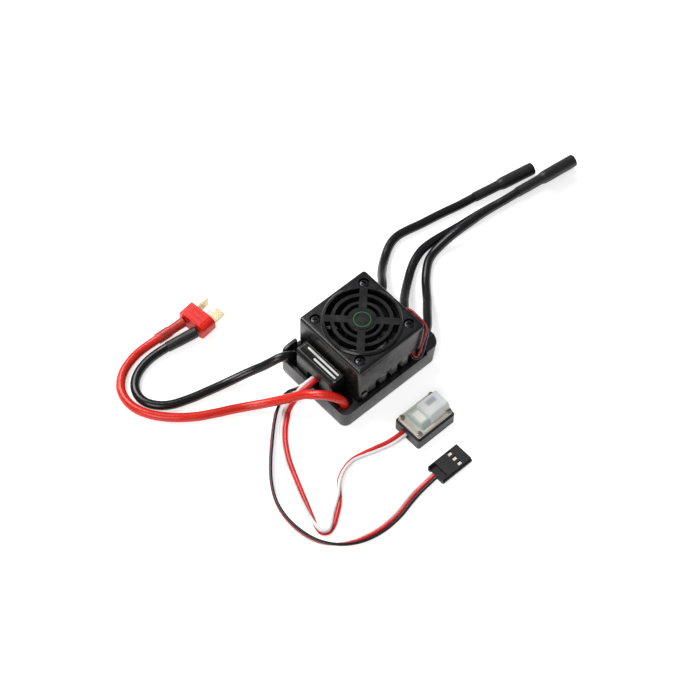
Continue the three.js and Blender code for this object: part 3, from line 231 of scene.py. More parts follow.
def newFinish(name, color, roughness, metal=0.0):
    material = bpy.data.materials.new(name)
    material.use_nodes = True
    shader = material.node_tree.nodes["Principled BSDF"]
    shader.inputs["Base Color"].default_value = (*color, 1)
    shader.inputs["Roughness"].default_value = roughness
    shader.inputs["Metallic"].default_value = metal
    return material, material.node_tree, shader


def addNode(tree, kind, links=None, **values):
    node = tree.nodes.new(kind)
    for key, value in values.items():
        if key in node.inputs:
            node.inputs[key].default_value = value
        else:
            setattr(node, key, value)
    for key, socket in (links or {}).items():
        tree.links.new(socket, node.inputs[key])
    return node


def places(tree, stretch=(1, 1, 1), around=False):
    # coordinates of the piece in metres, or along and around its own surface
    source = addNode(tree, "ShaderNodeTexCoord").outputs["UV" if around else "Object"]
    return addNode(tree, "ShaderNodeMapping", {"Vector": source}, Scale=stretch).outputs["Vector"]


def mottle(tree, shader, where, scale, dark, light, detail=4.0):
    # the colour drifts between two tones over the surface
    noise = addNode(tree, "ShaderNodeTexNoise", {"Vector": where}, Scale=scale, Detail=detail)
    ramp = addNode(tree, "ShaderNodeValToRGB", {"Fac": noise.outputs["Fac"]})
    ramp.color_ramp.elements[0].position, ramp.color_ramp.elements[1].position = 0.3, 0.7
    ramp.color_ramp.elements[0].color, ramp.color_ramp.elements[1].color = (*dark, 1), (*light, 1)
    tree.links.new(ramp.outputs["Color"], shader.inputs["Base Color"])


def uneven(tree, shader, where, scale, low, high, detail=3.0):
    # the gloss changes from place to place
    noise = addNode(tree, "ShaderNodeTexNoise", {"Vector": where}, Scale=scale, Detail=detail)
    span = addNode(tree, "ShaderNodeMapRange", {"Value": noise.outputs["Fac"]})
    for key, value in (("From Min", 0.3), ("From Max", 0.7), ("To Min", low), ("To Max", high)):
        span.inputs[key].default_value = value
    tree.links.new(span.outputs["Result"], shader.inputs["Roughness"])


def grain(tree, shader, where, scale, height, detail=2.0):
    # fine relief, its height in millimetres
    noise = addNode(tree, "ShaderNodeTexNoise", {"Vector": where}, Scale=scale, Detail=detail)
    relief = addNode(tree, "ShaderNodeBump", {"Height": noise.outputs["Fac"]}, Distance=height * mm,
                     Strength=1.0)
    if shader.inputs["Normal"].is_linked:
        tree.links.new(shader.inputs["Normal"].links[0].from_socket, relief.inputs["Normal"])
    tree.links.new(relief.outputs["Normal"], shader.inputs["Normal"])


def mouldedPlastic(name, color, roughness, pit=0.003, pitScale=3000):
    # satin moulding: faint tone and gloss drift, fine spark eroded grain
    material, tree, shader = newFinish(name, color, roughness)
    where = places(tree)
    mottle(tree, shader, where, 160, [c * 0.8 for c in color], [c * 1.25 for c in color])
    uneven(tree, shader, where, 300, roughness - 0.05, roughness + 0.07)
    grain(tree, shader, where, pitScale, pit)
    return material


def anodised(name, color, roughness):
    # anodised extrusion with fine lines that run up the fins
    material, tree, shader = newFinish(name, color, roughness, 0.75)
    where = places(tree)
    mottle(tree, shader, where, 220, [c * 0.75 for c in color], [c * 1.2 for c in color])
    uneven(tree, shader, where, 500, roughness - 0.06, roughness + 0.1)
    grain(tree, shader, places(tree, (9000, 9000, 400)), 1.0, 0.004)
    return material


def bareMetal(name, color, roughness, scratch=0.003, metal=1.0):
    # bright or plated metal with cloudy gloss and short fine scratches
    material, tree, shader = newFinish(name, color, roughness, metal)
    where = places(tree)
    mottle(tree, shader, where, 300, [c * 0.93 for c in color], [min(c * 1.05, 1) for c in color])
    uneven(tree, shader, where, 400, roughness - 0.04, roughness + 0.06)
    grain(tree, shader, places(tree, (900, 4000, 1500)), 1.0, scratch * 0.4)
    return material


def siliconeSheath(name, color, roughness):
    # soft extruded sheath: long draw lines, slight handling marks
    material, tree, shader = newFinish(name, color, roughness)
    where = places(tree)
    mottle(tree, shader, where, 120, [c * 0.82 for c in color], [min(c * 1.12, 1) for c in color])
    uneven(tree, shader, where, 260, roughness - 0.06, roughness + 0.06)
    grain(tree, shader, places(tree, (60, 9, 1), around=True), 1.0, 0.006)
    grain(tree, shader, where, 1500, 0.0015)
    return material


def shrinkTube(name, color, roughness):
    # shrunk polyolefin: matt, with soft rings and a leathery grain
    material, tree, shader = newFinish(name, color, roughness)
    where = places(tree)
    mottle(tree, shader, where, 240, [c * 0.75 for c in color], [min(c * 1.25, 1) for c in color])
    uneven(tree, shader, where, 420, roughness - 0.08, roughness + 0.1)
    grain(tree, shader, places(tree, (420, 5, 1), around=True), 1.0, 0.02)
    grain(tree, shader, where, 1500, 0.004)
    return material


def softNylon(name, color, roughness):
    # glowing red nylon: light spreads a little below the surface
    material, tree, shader = newFinish(name, color, roughness)
    where = places(tree)
    mottle(tree, shader, where, 200, [c * 0.88 for c in color], [min(c * 1.1, 1) for c in color])
    uneven(tree, shader, where, 380, roughness - 0.06, roughness + 0.08)
    grain(tree, shader, where, 2400, 0.008)
    shader.inputs["Subsurface Weight"].default_value = 0.05
    shader.inputs["Subsurface Scale"].default_value = 0.0008
    return material


def milkyClear(name, color, roughness, clearness):
    # cloudy moulding that lets through a share of the light, its clearness
    material, tree, shader = newFinish(name, color, roughness)
    where = places(tree)
    mottle(tree, shader, where, 260, [c * 0.93 for c in color], [min(c * 1.05, 1) for c in color])
    uneven(tree, shader, where, 420, roughness - 0.03, roughness + 0.06)
    grain(tree, shader, where, 900, 0.006)
    shader.inputs["Transmission Weight"].default_value = clearness
    shader.inputs["IOR"].default_value = 1.49
    return material


def tintedWindow(name, color, roughness, clearness, tints):
    # the cloudy moulding with what shows through it and a painted highlight: each tint covers a box of the
    # plan, softly at its rim
    material = milkyClear(name, color, roughness, clearness)
    tree = material.node_tree
    shader = tree.nodes["Principled BSDF"]
    split = addNode(tree, "ShaderNodeSeparateXYZ", {"Vector": places(tree)})
    for tint, low, high, rim in tints:
        mask = None
        for axis, start, end in (("X", low[0], high[0]), ("Y", low[1], high[1])):
            for near, far in ((start, start + rim), (end, end - rim)):
                ramp = addNode(tree, "ShaderNodeMapRange", {"Value": split.outputs[axis]},
                               interpolation_type="SMOOTHSTEP")
                ramp.inputs["From Min"].default_value = near * mm
                ramp.inputs["From Max"].default_value = far * mm
                if mask:
                    both = {0: mask, 1: ramp.outputs["Result"]}
                    ramp = addNode(tree, "ShaderNodeMath", both, operation="MULTIPLY")
                mask = ramp.outputs[0]
        base = shader.inputs["Base Color"].links[0].from_socket
        mix = addNode(tree, "ShaderNodeMix", {"Factor": mask, "A": base}, data_type="RGBA", blend_type="MIX")
        mix.inputs["B"].default_value = (*tint, 1)
        tree.links.new(mix.outputs["Result"], shader.inputs["Base Color"])
    return material


def lacqueredBoard(name, color):
    # solder mask with copper tracks that show through as a lighter tone
    material, tree, shader = newFinish(name, color, 0.3)
    where = places(tree)
    tracks = addNode(tree, "ShaderNodeTexBrick", {"Vector": where}, Scale=260.0)
    tracks.inputs["Color1"].default_value = (*color, 1)
    tracks.inputs["Color2"].default_value = (*[c * 1.6 for c in color], 1)
    tracks.inputs["Mortar"].default_value = (*[c * 0.6 for c in color], 1)
    tree.links.new(tracks.outputs["Color"], shader.inputs["Base Color"])
    uneven(tree, shader, where, 500, 0.25, 0.4)
    grain(tree, shader, where, 1800, 0.01)
    return material


trayPlastic = mouldedPlastic("tray plastic", (0.012, 0.0122, 0.013), 0.3)
shroudPlastic = mouldedPlastic("shroud plastic", (0.006, 0.0062, 0.0064), 0.27)
guardPlastic = mouldedPlastic("guard plastic", (0.0055, 0.0057, 0.0057), 0.25)
coverPlastic = mouldedPlastic("cover plastic", (0.0055, 0.0056, 0.006), 0.26, 0.003)
labelGloss = mouldedPlastic("label gloss", (0.004, 0.004, 0.0042), 0.16, 0.001, 2500)
labelInk = mouldedPlastic("label ink", (0.72, 0.72, 0.7), 0.45, 0.002)
borderInk = mouldedPlastic("border ink", (0.3, 0.3, 0.27), 0.45, 0.002)
badgePlastic = mouldedPlastic("badge plastic", (0.007, 0.0075, 0.007), 0.24, 0.003)
badgeInk = mouldedPlastic("badge ink", (0.014, 0.16, 0.035), 0.4, 0.002)
fanPlastic = mouldedPlastic("fan plastic", (0.006, 0.006, 0.0065), 0.36)
rotorPlastic = mouldedPlastic("rotor plastic", (0.009, 0.009, 0.01), 0.3)
switchPlastic = mouldedPlastic("switch plastic", (0.012, 0.012, 0.0125), 0.36)
receiverPlastic = mouldedPlastic("receiver plastic", (0.009, 0.009, 0.0092), 0.4)
chipPlastic = mouldedPlastic("chip plastic", (0.016, 0.016, 0.016), 0.5)
sliderPlastic = mouldedPlastic("slider plastic", (0.62, 0.64, 0.6), 0.4)
padRubber = mouldedPlastic("pad rubber", (0.3, 0.34, 0.38), 0.75, 0.02, 1500)
finMetal = anodised("fin metal", (0.58, 0.58, 0.57), 0.42)
screwMetal = bareMetal("screw metal", (0.055, 0.055, 0.06), 0.28, 0.002)
steelMetal = bareMetal("steel metal", (0.6, 0.59, 0.55), 0.28)
bronzeMetal = bareMetal("bronze metal", (0.33, 0.3, 0.25), 0.3, metal=0.8)
goldMetal = bareMetal("gold metal", (0.88, 0.76, 0.46), 0.25, 0.0005, 0.55)
tinMetal = bareMetal("tin metal", (0.95, 0.87, 0.8), 0.3, metal=0.4)
copperMetal = bareMetal("copper metal", (0.62, 0.3, 0.15), 0.3)
canMetal = bareMetal("can metal", (0.55, 0.56, 0.58), 0.3)
blackSilicone = siliconeSheath("black silicone", (0.004, 0.0042, 0.0055), 0.25)
redSilicone = siliconeSheath("red silicone", (0.74, 0.02, 0.008), 0.26)
thinRed = siliconeSheath("thin red sheath", (0.76, 0.018, 0.02), 0.32)
thinWhite = siliconeSheath("thin white sheath", (0.95, 0.95, 0.945), 0.45)
fanRed = siliconeSheath("fan red sheath", (0.33, 0.008, 0.016), 0.26)
thinBlack = siliconeSheath("thin black sheath", (0.009, 0.009, 0.011), 0.36)
shrinkBlack = shrinkTube("black shrink tube", (0.012, 0.012, 0.0125), 0.42)
shrinkRed = shrinkTube("red shrink tube", (0.52, 0.035, 0.025), 0.34)
plugNylon = softNylon("plug nylon", (0.84, 0.02, 0.012), 0.3)
flangeClear = milkyClear("flange clear", (0.7, 0.66, 0.58), 0.18, 0.15)
domeClear = tintedWindow("dome clear", (0.9, 0.91, 0.91), 0.05, 0.2, [
    ((0.54, 0.64, 0.59), (-5.2, -40.8), (0.35, -30.0), 0.5),
    # painted highlight: the low top is tinted near white where light glares on it, over the pale top of the
    # block beneath
    ((1.0, 0.99, 0.92), (-4.0, -38.4), (-0.1, -32.6), 0.9),
    ((0.5, 0.51, 0.56), (2.2, -35.7), (7.6, -32.4), 1.2)])
boardLacquer = lacqueredBoard("board lacquer", (0.004, 0.011, 0.008))
print("finishes made:", len(bpy.data.materials))


# battery wires: the routes are the CAD centre lines, the lengths are in metres

batteryWires = {
    "radius": 1.75, "lengths": {"red": 0.123, "black": 0.096},
    "red": [
        (-18.5, -13.5, 4.65), (-18.5, -13.5, 7.2), (-18.8, -13.3, 9.3), (-19.8, -12.3, 11.4),
        (-21.5, -10.7, 13), (-23.5, -8.7, 13.9), (-25.2, -6.8, 13.9), (-26.7, -4.9, 13.2),
        (-28, -2.5, 11.9), (-30, -0.1, 9.9), (-32.4, 2.5, 7.7), (-34.8, 5.1, 5.7), (-37.4, 7.7, 3.9),
        (-40.5, 10.4, 2.6), (-44, 12.9, 1.9), (-48.6, 15.5, 1.8), (-52, 17.2, 1.8), (-55.3, 19, 1.8),
        (-58.5, 20.8, 1.8), (-61.5, 22.9, 1.8), (-64.4, 25.2, 1.8), (-67, 27.7, 1.8), (-69.5, 30.5, 1.8),
        (-71.7, 33.8, 1.8), (-73.4, 37.4, 1.8), (-74.2, 41.2, 1.8), (-74, 45, 1.8), (-72.8, 48.5, 1.8),
        (-70.5, 51.5, 1.8), (-67.4, 53.9, 1.8), (-63.9, 55.5, 1.8), (-60.2, 56.5, 1.8), (-56.3, 57, 1.8),
        (-52.4, 56.9, 2), (-48.7, 56.5, 2.4)],
    "black": [
        (-17.3, 13.5, 4.65), (-17.3, 13.5, 6.2), (-18.1, 13.6, 8.8), (-19.9, 14, 10.8),
        (-22.2, 14.6, 11.8), (-24.6, 15.6, 11.7), (-27, 16.9, 10.2), (-29.6, 18.7, 7.9),
        (-32.4, 20.7, 5.8), (-35.6, 22.5, 4.1), (-39, 24, 2.8), (-42.8, 25.3, 2), (-46.5, 26.3, 1.8),
        (-50.5, 27.3, 1.8), (-54.5, 28.3, 1.8), (-58.2, 29.5, 1.8), (-61.9, 30.9, 1.8), (-65.1, 32.8, 1.8),
        (-67.6, 35.3, 1.8), (-69.2, 38, 1.8), (-69.8, 40.9, 1.8), (-69.3, 43.9, 1.8), (-67.8, 46.6, 1.8),
        (-65.5, 48.8, 1.8), (-62.6, 50.4, 1.8), (-59.4, 51.4, 1.8), (-55.8, 51.9, 1.9), (-52, 51.8, 2.1),
        (-48.2, 51.3, 2.5)],
}

batterySleeves = {
    "red": {"start": (-48.4, 56.5, 2.4), "end": (-37.2, 55.3, 3.6),
            "profile": [(-0.6, 1.78), (-0.45, 2.12), (0.8, 2.14), (5.1, 2.1), (5.3, 1.92), (8.6, 1.9),
                        (11.4, 2.05), (11.6, 1.9)]},
    "black": {"start": (-47.9, 51.2, 2.5), "end": (-36.7, 48.8, 3.6),
              "profile": [(-0.6, 1.78), (-0.45, 1.98), (2.2, 2.0), (4.6, 2.08), (7.0, 2.14), (11.6, 2.12),
                          (11.85, 1.95)]},
}


def shrunkSwell(strength):
    # uneven shrinking: 1 plus two low waves that run along and round the sleeve
    def swell(reach, angle):
        return 1 + strength * (np.sin(2 * angle + 0.9 * reach) * 0.5 + np.sin(3 * angle - 0.6 * reach) * 0.3)

    return swell


def makeBatteryWires(plugPieces):
    for colour, finish, shrink in (("red", redSilicone, shrinkRed), ("black", blackSilicone, shrinkBlack)):
        line = smoothLine(batteryWires[colour])
        wire = tube(f"battery_lead_{colour}", line, batteryWires["radius"], finish)
        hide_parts(f"battery_wire_{colour}")
        sleeve = batterySleeves[colour]
        cuff = turned(f"battery_cuff_{colour}", denser(sleeve["profile"], 0.35), sleeve["start"],
                      sleeve["end"], shrink, shrunkSwell(0.02))
        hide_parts(f"battery_sleeve_{colour}")


# motor wires

motorWires = {
    "radius": 1.75,
    "routes": {
        "a": [
            (18.7, 13.5, 8.5), (24.2, 13.5, 8.5), (26.4, 15, 7.9), (28.8, 17.5, 6.7), (32, 21.2, 4.6),
            (35.6, 24.6, 2.8), (39.3, 27.4, 1.9), (43.3, 29.9, 1.8), (46.9, 31.4, 1.8), (50.2, 31.9, 1.8),
            (54, 31.5, 1.8), (60.4, 30.1, 1.8), (69.4, 28.5, 1.8), (78.3, 26.5, 2), (84.8, 25.2, 2.5)],
        "b": [
            (18.7, 1.5, 8.5), (24.2, 1.5, 8.5), (26.6, 3.2, 7.9), (29.4, 6.1, 6.4), (34.3, 10.4, 4),
            (39, 14, 2.3), (43.3, 17, 1.8), (47.7, 19.3, 1.8), (52.5, 20.8, 1.8), (57.2, 21, 1.8),
            (61.8, 20.6, 1.8), (66.4, 20, 1.8), (71.3, 19.4, 1.8), (76.4, 18.9, 1.8), (81.1, 18.4, 1.8),
            (86.1, 17.7, 1.9), (92, 16.6, 2.2), (98.7, 15.7, 2.5)],
        "c": [
            (18.7, -10.5, 8.5), (24.2, -10.5, 8.5), (26.6, -9.2, 8), (29.2, -6.8, 7.2), (32.8, -2.9, 5.9),
            (37.3, 1.8, 3.9), (40.9, 6, 2.5), (44.2, 9.7, 1.8), (47.5, 12.8, 1.8), (51.2, 15.5, 1.8),
            (55, 16.9, 1.9), (58.8, 17.2, 2.7), (63.7, 17, 4.2), (68.6, 16.7, 5), (73.6, 16.5, 5.1),
            (79.2, 16.3, 5.2), (84.5, 15.7, 5.5), (90.5, 14.5, 6.4), (96.6, 13.5, 7.1)]},
    "lengths": {"a": 0.0743, "b": 0.0876, "c": 0.0903},
    "sleeves": {"a": ((85.1, 25.1, 2.5), (111.1, 20.3, 2.5)), "b": ((99, 15.7, 2.5), (125.3, 12.4, 2.5)),
                "c": ((96.9, 13.5, 7.1), (123.1, 10.2, 7.1))},
    # the thin end grips the wire, the thick end covers the bullet socket and stays open
    "sleeveProfile": [
        (-0.6, 1.78), (-0.45, 1.97), (10.2, 2.0), (10.9, 2.1), (12.0, 2.42), (13.0, 2.5), (26.0, 2.5),
        (26.4, 2.47), (26.5, 2.38), (26.4, 2.28), (26.0, 2.22), (15.6, 2.22)],
    "bulletProfile": [
        (15.7, 2.0), (15.9, 2.05), (25.9, 2.05), (26.15, 2.0), (26.2, 1.9), (26.1, 1.75), (25.8, 1.7),
        (17.5, 1.7)],
}


def makeMotorWires():
    for letter, route in motorWires["routes"].items():
        line = smoothLine(route)
        wire = tube(f"motor_lead_{letter}", line, motorWires["radius"], blackSilicone)
        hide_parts(f"motor_wire_{letter}")
        start, end = motorWires["sleeves"][letter]
        cuff = turned(f"motor_cuff_{letter}", denser(motorWires["sleeveProfile"], 0.5), start, end,
                      shrinkBlack, shrunkSwell(0.012))
        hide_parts(f"motor_sleeve_{letter}")
        socket = turned(f"motor_socket_{letter}", motorWires["bulletProfile"], start, end, goldMetal)
        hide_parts(f"motor_bullet_{letter}")


# flat leads: the last number of each point turns the flat section

switchLead = {
    "radii": {"white": 0.68, "red": 0.88}, "width": 1.48, "pitch": 1.55, "length": 0.1277,
    "route": [
        (-18.8, 0.8, 10.6, 0), (-23.7, 0.8, 10.6, 0), (-26, 0.9, 9.9, 0), (-28.2, 1.2, 8, 0),
        (-29.9, 1.7, 5.2, 0), (-31.4, 2.1, 2.6, 0), (-33.2, 1.8, 1, 0), (-35.4, 0, 0.8, 0),
        (-38.6, -2.7, 0.8, 0), (-42.4, -7, 0.8, 0), (-46.6, -13.6, 0.8, 0), (-50.2, -21.7, 0.8, 0),
        (-53.4, -29.7, 1, 15), (-55.9, -36.4, 1.35, 45), (-57.3, -41.2, 1.5, 80), (-57.4, -44.2, 1.6, 90),
        (-55.6, -45.7, 1.6, 100), (-52.9, -44.8, 1.5, 130), (-49.4, -42.3, 1, 165),
        (-45.8, -39.7, 1.2, 150), (-42.9, -37.3, 1.6, 110), (-40.3, -34.6, 1.6, 85),
        (-37.4, -32.2, 1.6, 70), (-33.6, -30.6, 1.6, 60), (-29.5, -30, 1.5, 50), (-25, -30.8, 1.3, 30),
        (-20.2, -32.2, 1.3, 10), (-15.4, -33.6, 1.6, 0), (-11.6, -34.3, 2.1, 0), (-8, -34.4, 2.2, 0)],
}

receiverLead = {
    "radii": {"white": 0.54, "red": 0.56, "black": 0.58}, "width": 1.12, "pitch": 1.2, "length": 0.1357,
    "route": [
        (-18.8, 0.9, 9.1, 0), (-23.2, 0.9, 9.1, 0), (-24.8, 2.1, 8.3, -8), (-26, 3.9, 6.5, -35),
        (-27.4, 5.5, 4.5, -60), (-29.3, 6.4, 2.8, -75), (-31.6, 6.1, 1.9, -78), (-34.4, 4.9, 1.75, -76),
        (-37.2, 3.2, 1.75, -75), (-41.4, -0.2, 1.75, -75), (-46.8, -5.3, 1.75, -75),
        (-52.3, -10.9, 1.75, -78), (-57.7, -17.6, 1.8, -85), (-61.6, -24.8, 1.8, -90),
        (-63.3, -32.4, 1.8, -90), (-63, -40, 1.8, -90), (-60.9, -46.6, 1.8, -100),
        (-56.8, -51.6, 1.6, -120), (-51.4, -54.8, 1.3, -150), (-45.2, -56.6, 0.8, -170),
        (-38.8, -57.3, 0.7, -180), (-32, -56.9, 0.7, -180), (-25.5, -55.5, 0.7, -180),
        (-20, -54.6, 0.9, -180), (-15.6, -54.4, 1.5, -180), (-12, -54.3, 2, -180)],
}


def conductorPoints(route, offset):
    # the lead's points moved aside by the cosine of its turn and above by the sine, square to its run
    route = np.asarray(route, float)
    points, turn = route[:, :3], np.radians(route[:, 3])[:, None]
    after, before = [points[1:2], points[2:], points[-1:]], [points[:1], points[:-2], points[-2:-1]]
    heading = np.vstack(after) - np.vstack(before)
    heading /= np.linalg.norm(heading, axis=1)[:, None]
    aside = np.stack([heading[:, 1], -heading[:, 0], np.zeros(len(points))], axis=-1)
    aside /= np.linalg.norm(aside, axis=1)[:, None]
    above = np.cross(aside, heading)
    return points + offset * (np.cos(turn) * aside + np.sin(turn) * above)


leadSides = 14


def makeFlatLead(stem, lead, conductors, endPieces):
    # the conductors lie side by side, one pitch apart
    middle = (len(conductors) - 1) / 2
    for place, (colour, finish) in enumerate(conductors):
        line = smoothLine(conductorPoints(lead["route"], (middle - place) * lead["pitch"]))
        line[:, 2] = np.maximum(line[:, 2], lead["width"] / 2)
        wire = tube(f"{stem}_lead_{colour}", line, lead["radii"][colour], finish,
                    leadSides)
        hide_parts(f"{stem}_wire_{colour}")


# fan leads, held at both ends

fanLeads = {
    "radius": 0.45, "lean": (1, 0.2, 0.1),
    "red": [
        (17.2, -4.4, 23.4), (18.6, -5, 23.9), (19.1, -7.4, 25.4), (19, -11.2, 25.7), (18.9, -14.4, 25.4),
        (18.4, -16.8, 24.6), (17.3, -17.5, 22.6), (16.4, -17.5, 19.6), (15.6, -17.6, 16.4),
        (14.7, -17.6, 13.4), (13.4, -17.6, 11.7), (12.6, -16.9, 12.6), (12.6, -14.6, 13.2)],
    "black": [
        (17.2, -4.4, 22.1), (18.6, -5, 22.6), (19.1, -7.4, 24.1), (18.9, -11.2, 24.5), (18.8, -14.6, 24),
        (18.7, -16.9, 23), (18, -17.7, 21), (17.4, -17.7, 18), (16.9, -17.8, 15), (16, -17.9, 12),
        (14.5, -17.9, 10.2), (12.6, -16.9, 10.6), (12.6, -14.6, 11.2)],
}


def makeFanLeads():
    for colour, finish in (("red", fanRed), ("black", thinBlack)):
        lead = tube(f"fan_cable_{colour}", smoothLine(fanLeads[colour]), fanLeads["radius"], finish,
                    leadSides, fanLeads["lean"])
        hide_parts(f"fan_lead_{colour}")


# case: these nodes keep their CAD shape and get rounded edges, the others only a better finish

caseEdges = {
    "base_tray": (0.22, trayPlastic), "fan_shroud": (0.3, shroudPlastic), "fan_guard": (0.18, guardPlastic),
    "terminal_cover": (0.25, coverPlastic), "label_panel": (0.08, labelGloss),
    "hub_badge": (0.06, badgePlastic), "heat_sink": (0.12, finMetal),
}


def makeCase():
    for node, (edge, finish) in caseEdges.items():
        roundedCopy(node, edge, finish)
    dress(fanPlastic, "fan_frame")
    dress(rotorPlastic, "fan_rotor")
    dress(copperMetal, "fan_stator", "fan_bearing")
    dress(steelMetal, "fan_shaft")
    dress(boardLacquer, "circuit_board")
    dress(chipPlastic, *[f"power_transistor_{k}" for k in range(1, 5)])
    dress(padRubber, "thermal_pad")
    dress(canMetal, "capacitor_left", "capacitor_right")


# screws: the arm, its width and depth are those of the cross in the head

guardScrew = {"centre": (1.9, 0.0), "pitch": (24.0, 24.0), "seat": 25.3, "head": 1.8, "height": 1.5,
              "dome": 0.55, "shank": 1.1, "shankLength": 9.4, "arm": 1.05, "armWidth": 0.22, "depth": 0.8,
              "sides": 64, "rings": 18, "armBlur": 0.08, "tipBlur": 0.12}
switchScrew = {**guardScrew, "centre": (0.9, -35.6), "pitch": (14.6, 9.4), "seat": 6.75, "head": 1.15,
               "height": 0.6, "dome": 0.2, "shank": 0.7, "shankLength": 4.65, "arm": 0.72,
               "armWidth": 0.15, "depth": 0.4}


def crossScrew(name, x, y, size, finish, turn):
    # a pan head over a shank: the top is a low dome that falls with the square of the radius, and the
    # cross is pressed in where a point lies within an arm's width of either line through the middle
    sides = size["sides"]
    angle = np.linspace(0, 2 * np.pi, sides, endpoint=False)
    inner = np.linspace(0.02, 1, size["rings"]) * (size["head"] - size["dome"])
    top = size["height"] - size["dome"] * 0.5 * (inner / size["head"]) ** 2
    px, py = inner[:, None] * np.cos(angle - turn), inner[:, None] * np.sin(angle - turn)
    away = np.minimum(np.abs(px), np.abs(py))
    along = np.maximum(np.abs(px), np.abs(py))
    inside = np.clip((size["armWidth"] - away) / size["armBlur"] + 0.5, 0, 1)
    press = inside * np.clip((size["arm"] - along) / size["tipBlur"] + 0.5, 0, 1)
    heights = top[:, None] - size["depth"] * press * np.clip(1.2 - 0.5 * along / size["arm"], 0, 1)
    bend = np.linspace(0.15, 1, 6) * np.pi / 2
    rimRadius = size["head"] - size["dome"] + size["dome"] * np.sin(bend)
    rimHeight = top[-1] - size["dome"] * (1 - np.cos(bend))
    outer = np.array([*zip(rimRadius, rimHeight), (size["head"], 0.0), (size["shank"], 0.0),
                      (size["shank"], -size["shankLength"])])
    radius = np.concatenate([inner[:, None] * np.ones(sides), outer[:, :1] * np.ones(sides)])
    height = np.concatenate([heights, outer[:, 1:] * np.ones(sides)])
    grid = np.stack([x + radius * np.cos(angle), y + radius * np.sin(angle), size["seat"] + height], axis=-1)
    return skin(name, grid, finish, crease=38)


def makeScrews(stem, size, finish, turn):
    # one screw at each corner of the pitch, each turned further than the last
    screws = []
    for sx in (-1, 1):
        for sy in (-1, 1):
            corner = len(screws) + 1
            x = size["centre"][0] + sx * size["pitch"][0] / 2
            y = size["centre"][1] + sy * size["pitch"][1] / 2
            screws.append(crossScrew(f"{stem}_fixing_{corner}", x, y, size, finish, turn * corner))
            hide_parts(f"{stem}_screw_{corner}")
    return screws


# plain marks where the real one is printed: a ring on the badge, a border and two bars on the label

badgeRing = {"centre": (1.9, 0.0), "inner": 3.0, "outer": 3.3, "low": 28.22, "high": 28.28}
labelMarks = {"middle": (-17.5, 1.1), "top": 18.75, "thick": 0.03, "border": (4.2, 18.4), "borderCorner": 1.0,
              "line": 0.07, "bars": ((0.95, 0.4, 16.4, 0.8), (-0.75, -2.2, 11.6, 0.8))}


def flatRing(name, inner, outer, low, high, finish, slot):
    # four closed outlines, inner low, outer low, outer high and inner high, joined into one ring
    layers = [(inner, low), (outer, low), (outer, high), (inner, high)]
    grid = np.stack([np.column_stack([outline, np.full(len(outline), level)]) for outline, level in layers])
    return skin(name, grid, finish, ring=True, crease=30)


def roundedRectangle(x, y, length, width, corner, perCorner=8):
    # four quarter circles, joined by the straight sides
    quarter = np.linspace(0, np.pi / 2, perCorner)
    angle = np.concatenate([quarter + k * np.pi / 2 for k in range(4)])
    signX = np.repeat([1, -1, -1, 1], perCorner)
    signY = np.repeat([1, 1, -1, -1], perCorner)
    return np.column_stack([x + signX * (length / 2 - corner) + corner * np.cos(angle),
                            y + signY * (width / 2 - corner) + corner * np.sin(angle)])


def makeMarks():
    angle = np.linspace(0, 2 * np.pi, 64, endpoint=False)
    circle = np.column_stack([np.cos(angle), np.sin(angle)])
    centre = np.array(badgeRing["centre"])
    flatRing("badge_ring", centre + badgeRing["inner"] * circle, centre + badgeRing["outer"] * circle,
             badgeRing["low"], badgeRing["high"], badgeInk, "black_plastic")
    (x, y), low = labelMarks["middle"], labelMarks["top"] - 0.02
    high = labelMarks["top"] + labelMarks["thick"]
    length, width = labelMarks["border"]
    line = labelMarks["line"]
    outer = roundedRectangle(x, y, length, width, labelMarks["borderCorner"])
    inner = roundedRectangle(x, y, length - 2 * line, width - 2 * line, labelMarks["borderCorner"] - line)
    flatRing("label_border", inner, outer, low, high, borderInk, "label_black")
    for number, (aside, along, span, breadth) in enumerate(labelMarks["bars"], 1):
        outline = roundedRectangle(x + aside, along, breadth, span, breadth * 0.45)
        grid = np.stack([np.column_stack([outline, np.full(len(outline), level)]) for level in (low, high)])
        skin(f"label_bar_{number}", grid, labelInk, crease=30)


# battery plug and receiver plug

def makeBatteryPlug():
    return [roundedCopy("battery_plug_body", 0.45, plugNylon),
            roundedCopy("battery_plug_blade_positive", 0.2, goldMetal),
            roundedCopy("battery_plug_blade_negative", 0.2, goldMetal)]


def makeReceiverPlug():
    contacts = ["receiver_contact_1", "receiver_contact_2", "receiver_contact_3"]
    dress(tinMetal, *contacts)
    return [roundedCopy("receiver_plug", 0.15, receiverPlastic), *contacts]


# switch hood: a flange and a window with drafted sides that steps up towards the far end

switchHood = {"low": 5.02, "seat": 6.75, "outer": ((-7.9, -41.7), (9.7, -29.5)),
              "opening": ((-3.8, -38.4), (9.0, -32.4)), "step": (0.15, 0.5), "grid": 0.6,
              "rim": (4.9, 5.7), "inset": 0.35, "lip": (0.45, 0.12),
              "corner": 1.0, "edge": 0.3, "wall": 0.6, "rise": (1.9, 3.15),
              "front": (-4.7, -3.95), "back": (9.3, 9.62), "side": ((-40.1, -38.5), (-30.9, -31.9))}


def easeIn(value, start, end):
    # from 0 at the start to 1 at the end, level at both, by 3t squared minus 2t cubed
    t = np.clip((value - start) / (end - start), 0, 1)
    return t * t * (3 - 2 * t)


def gridLines(breaks, step, least=7):
    # lines no further apart than the step, with at least so many from one break to the next
    parts = []
    for near, far in zip(breaks[:-1], breaks[1:]):
        parts.append(np.linspace(near, far, max(least, int(np.ceil((far - near) / step)) + 1)))
    return np.unique(np.round(np.concatenate(parts), 6))


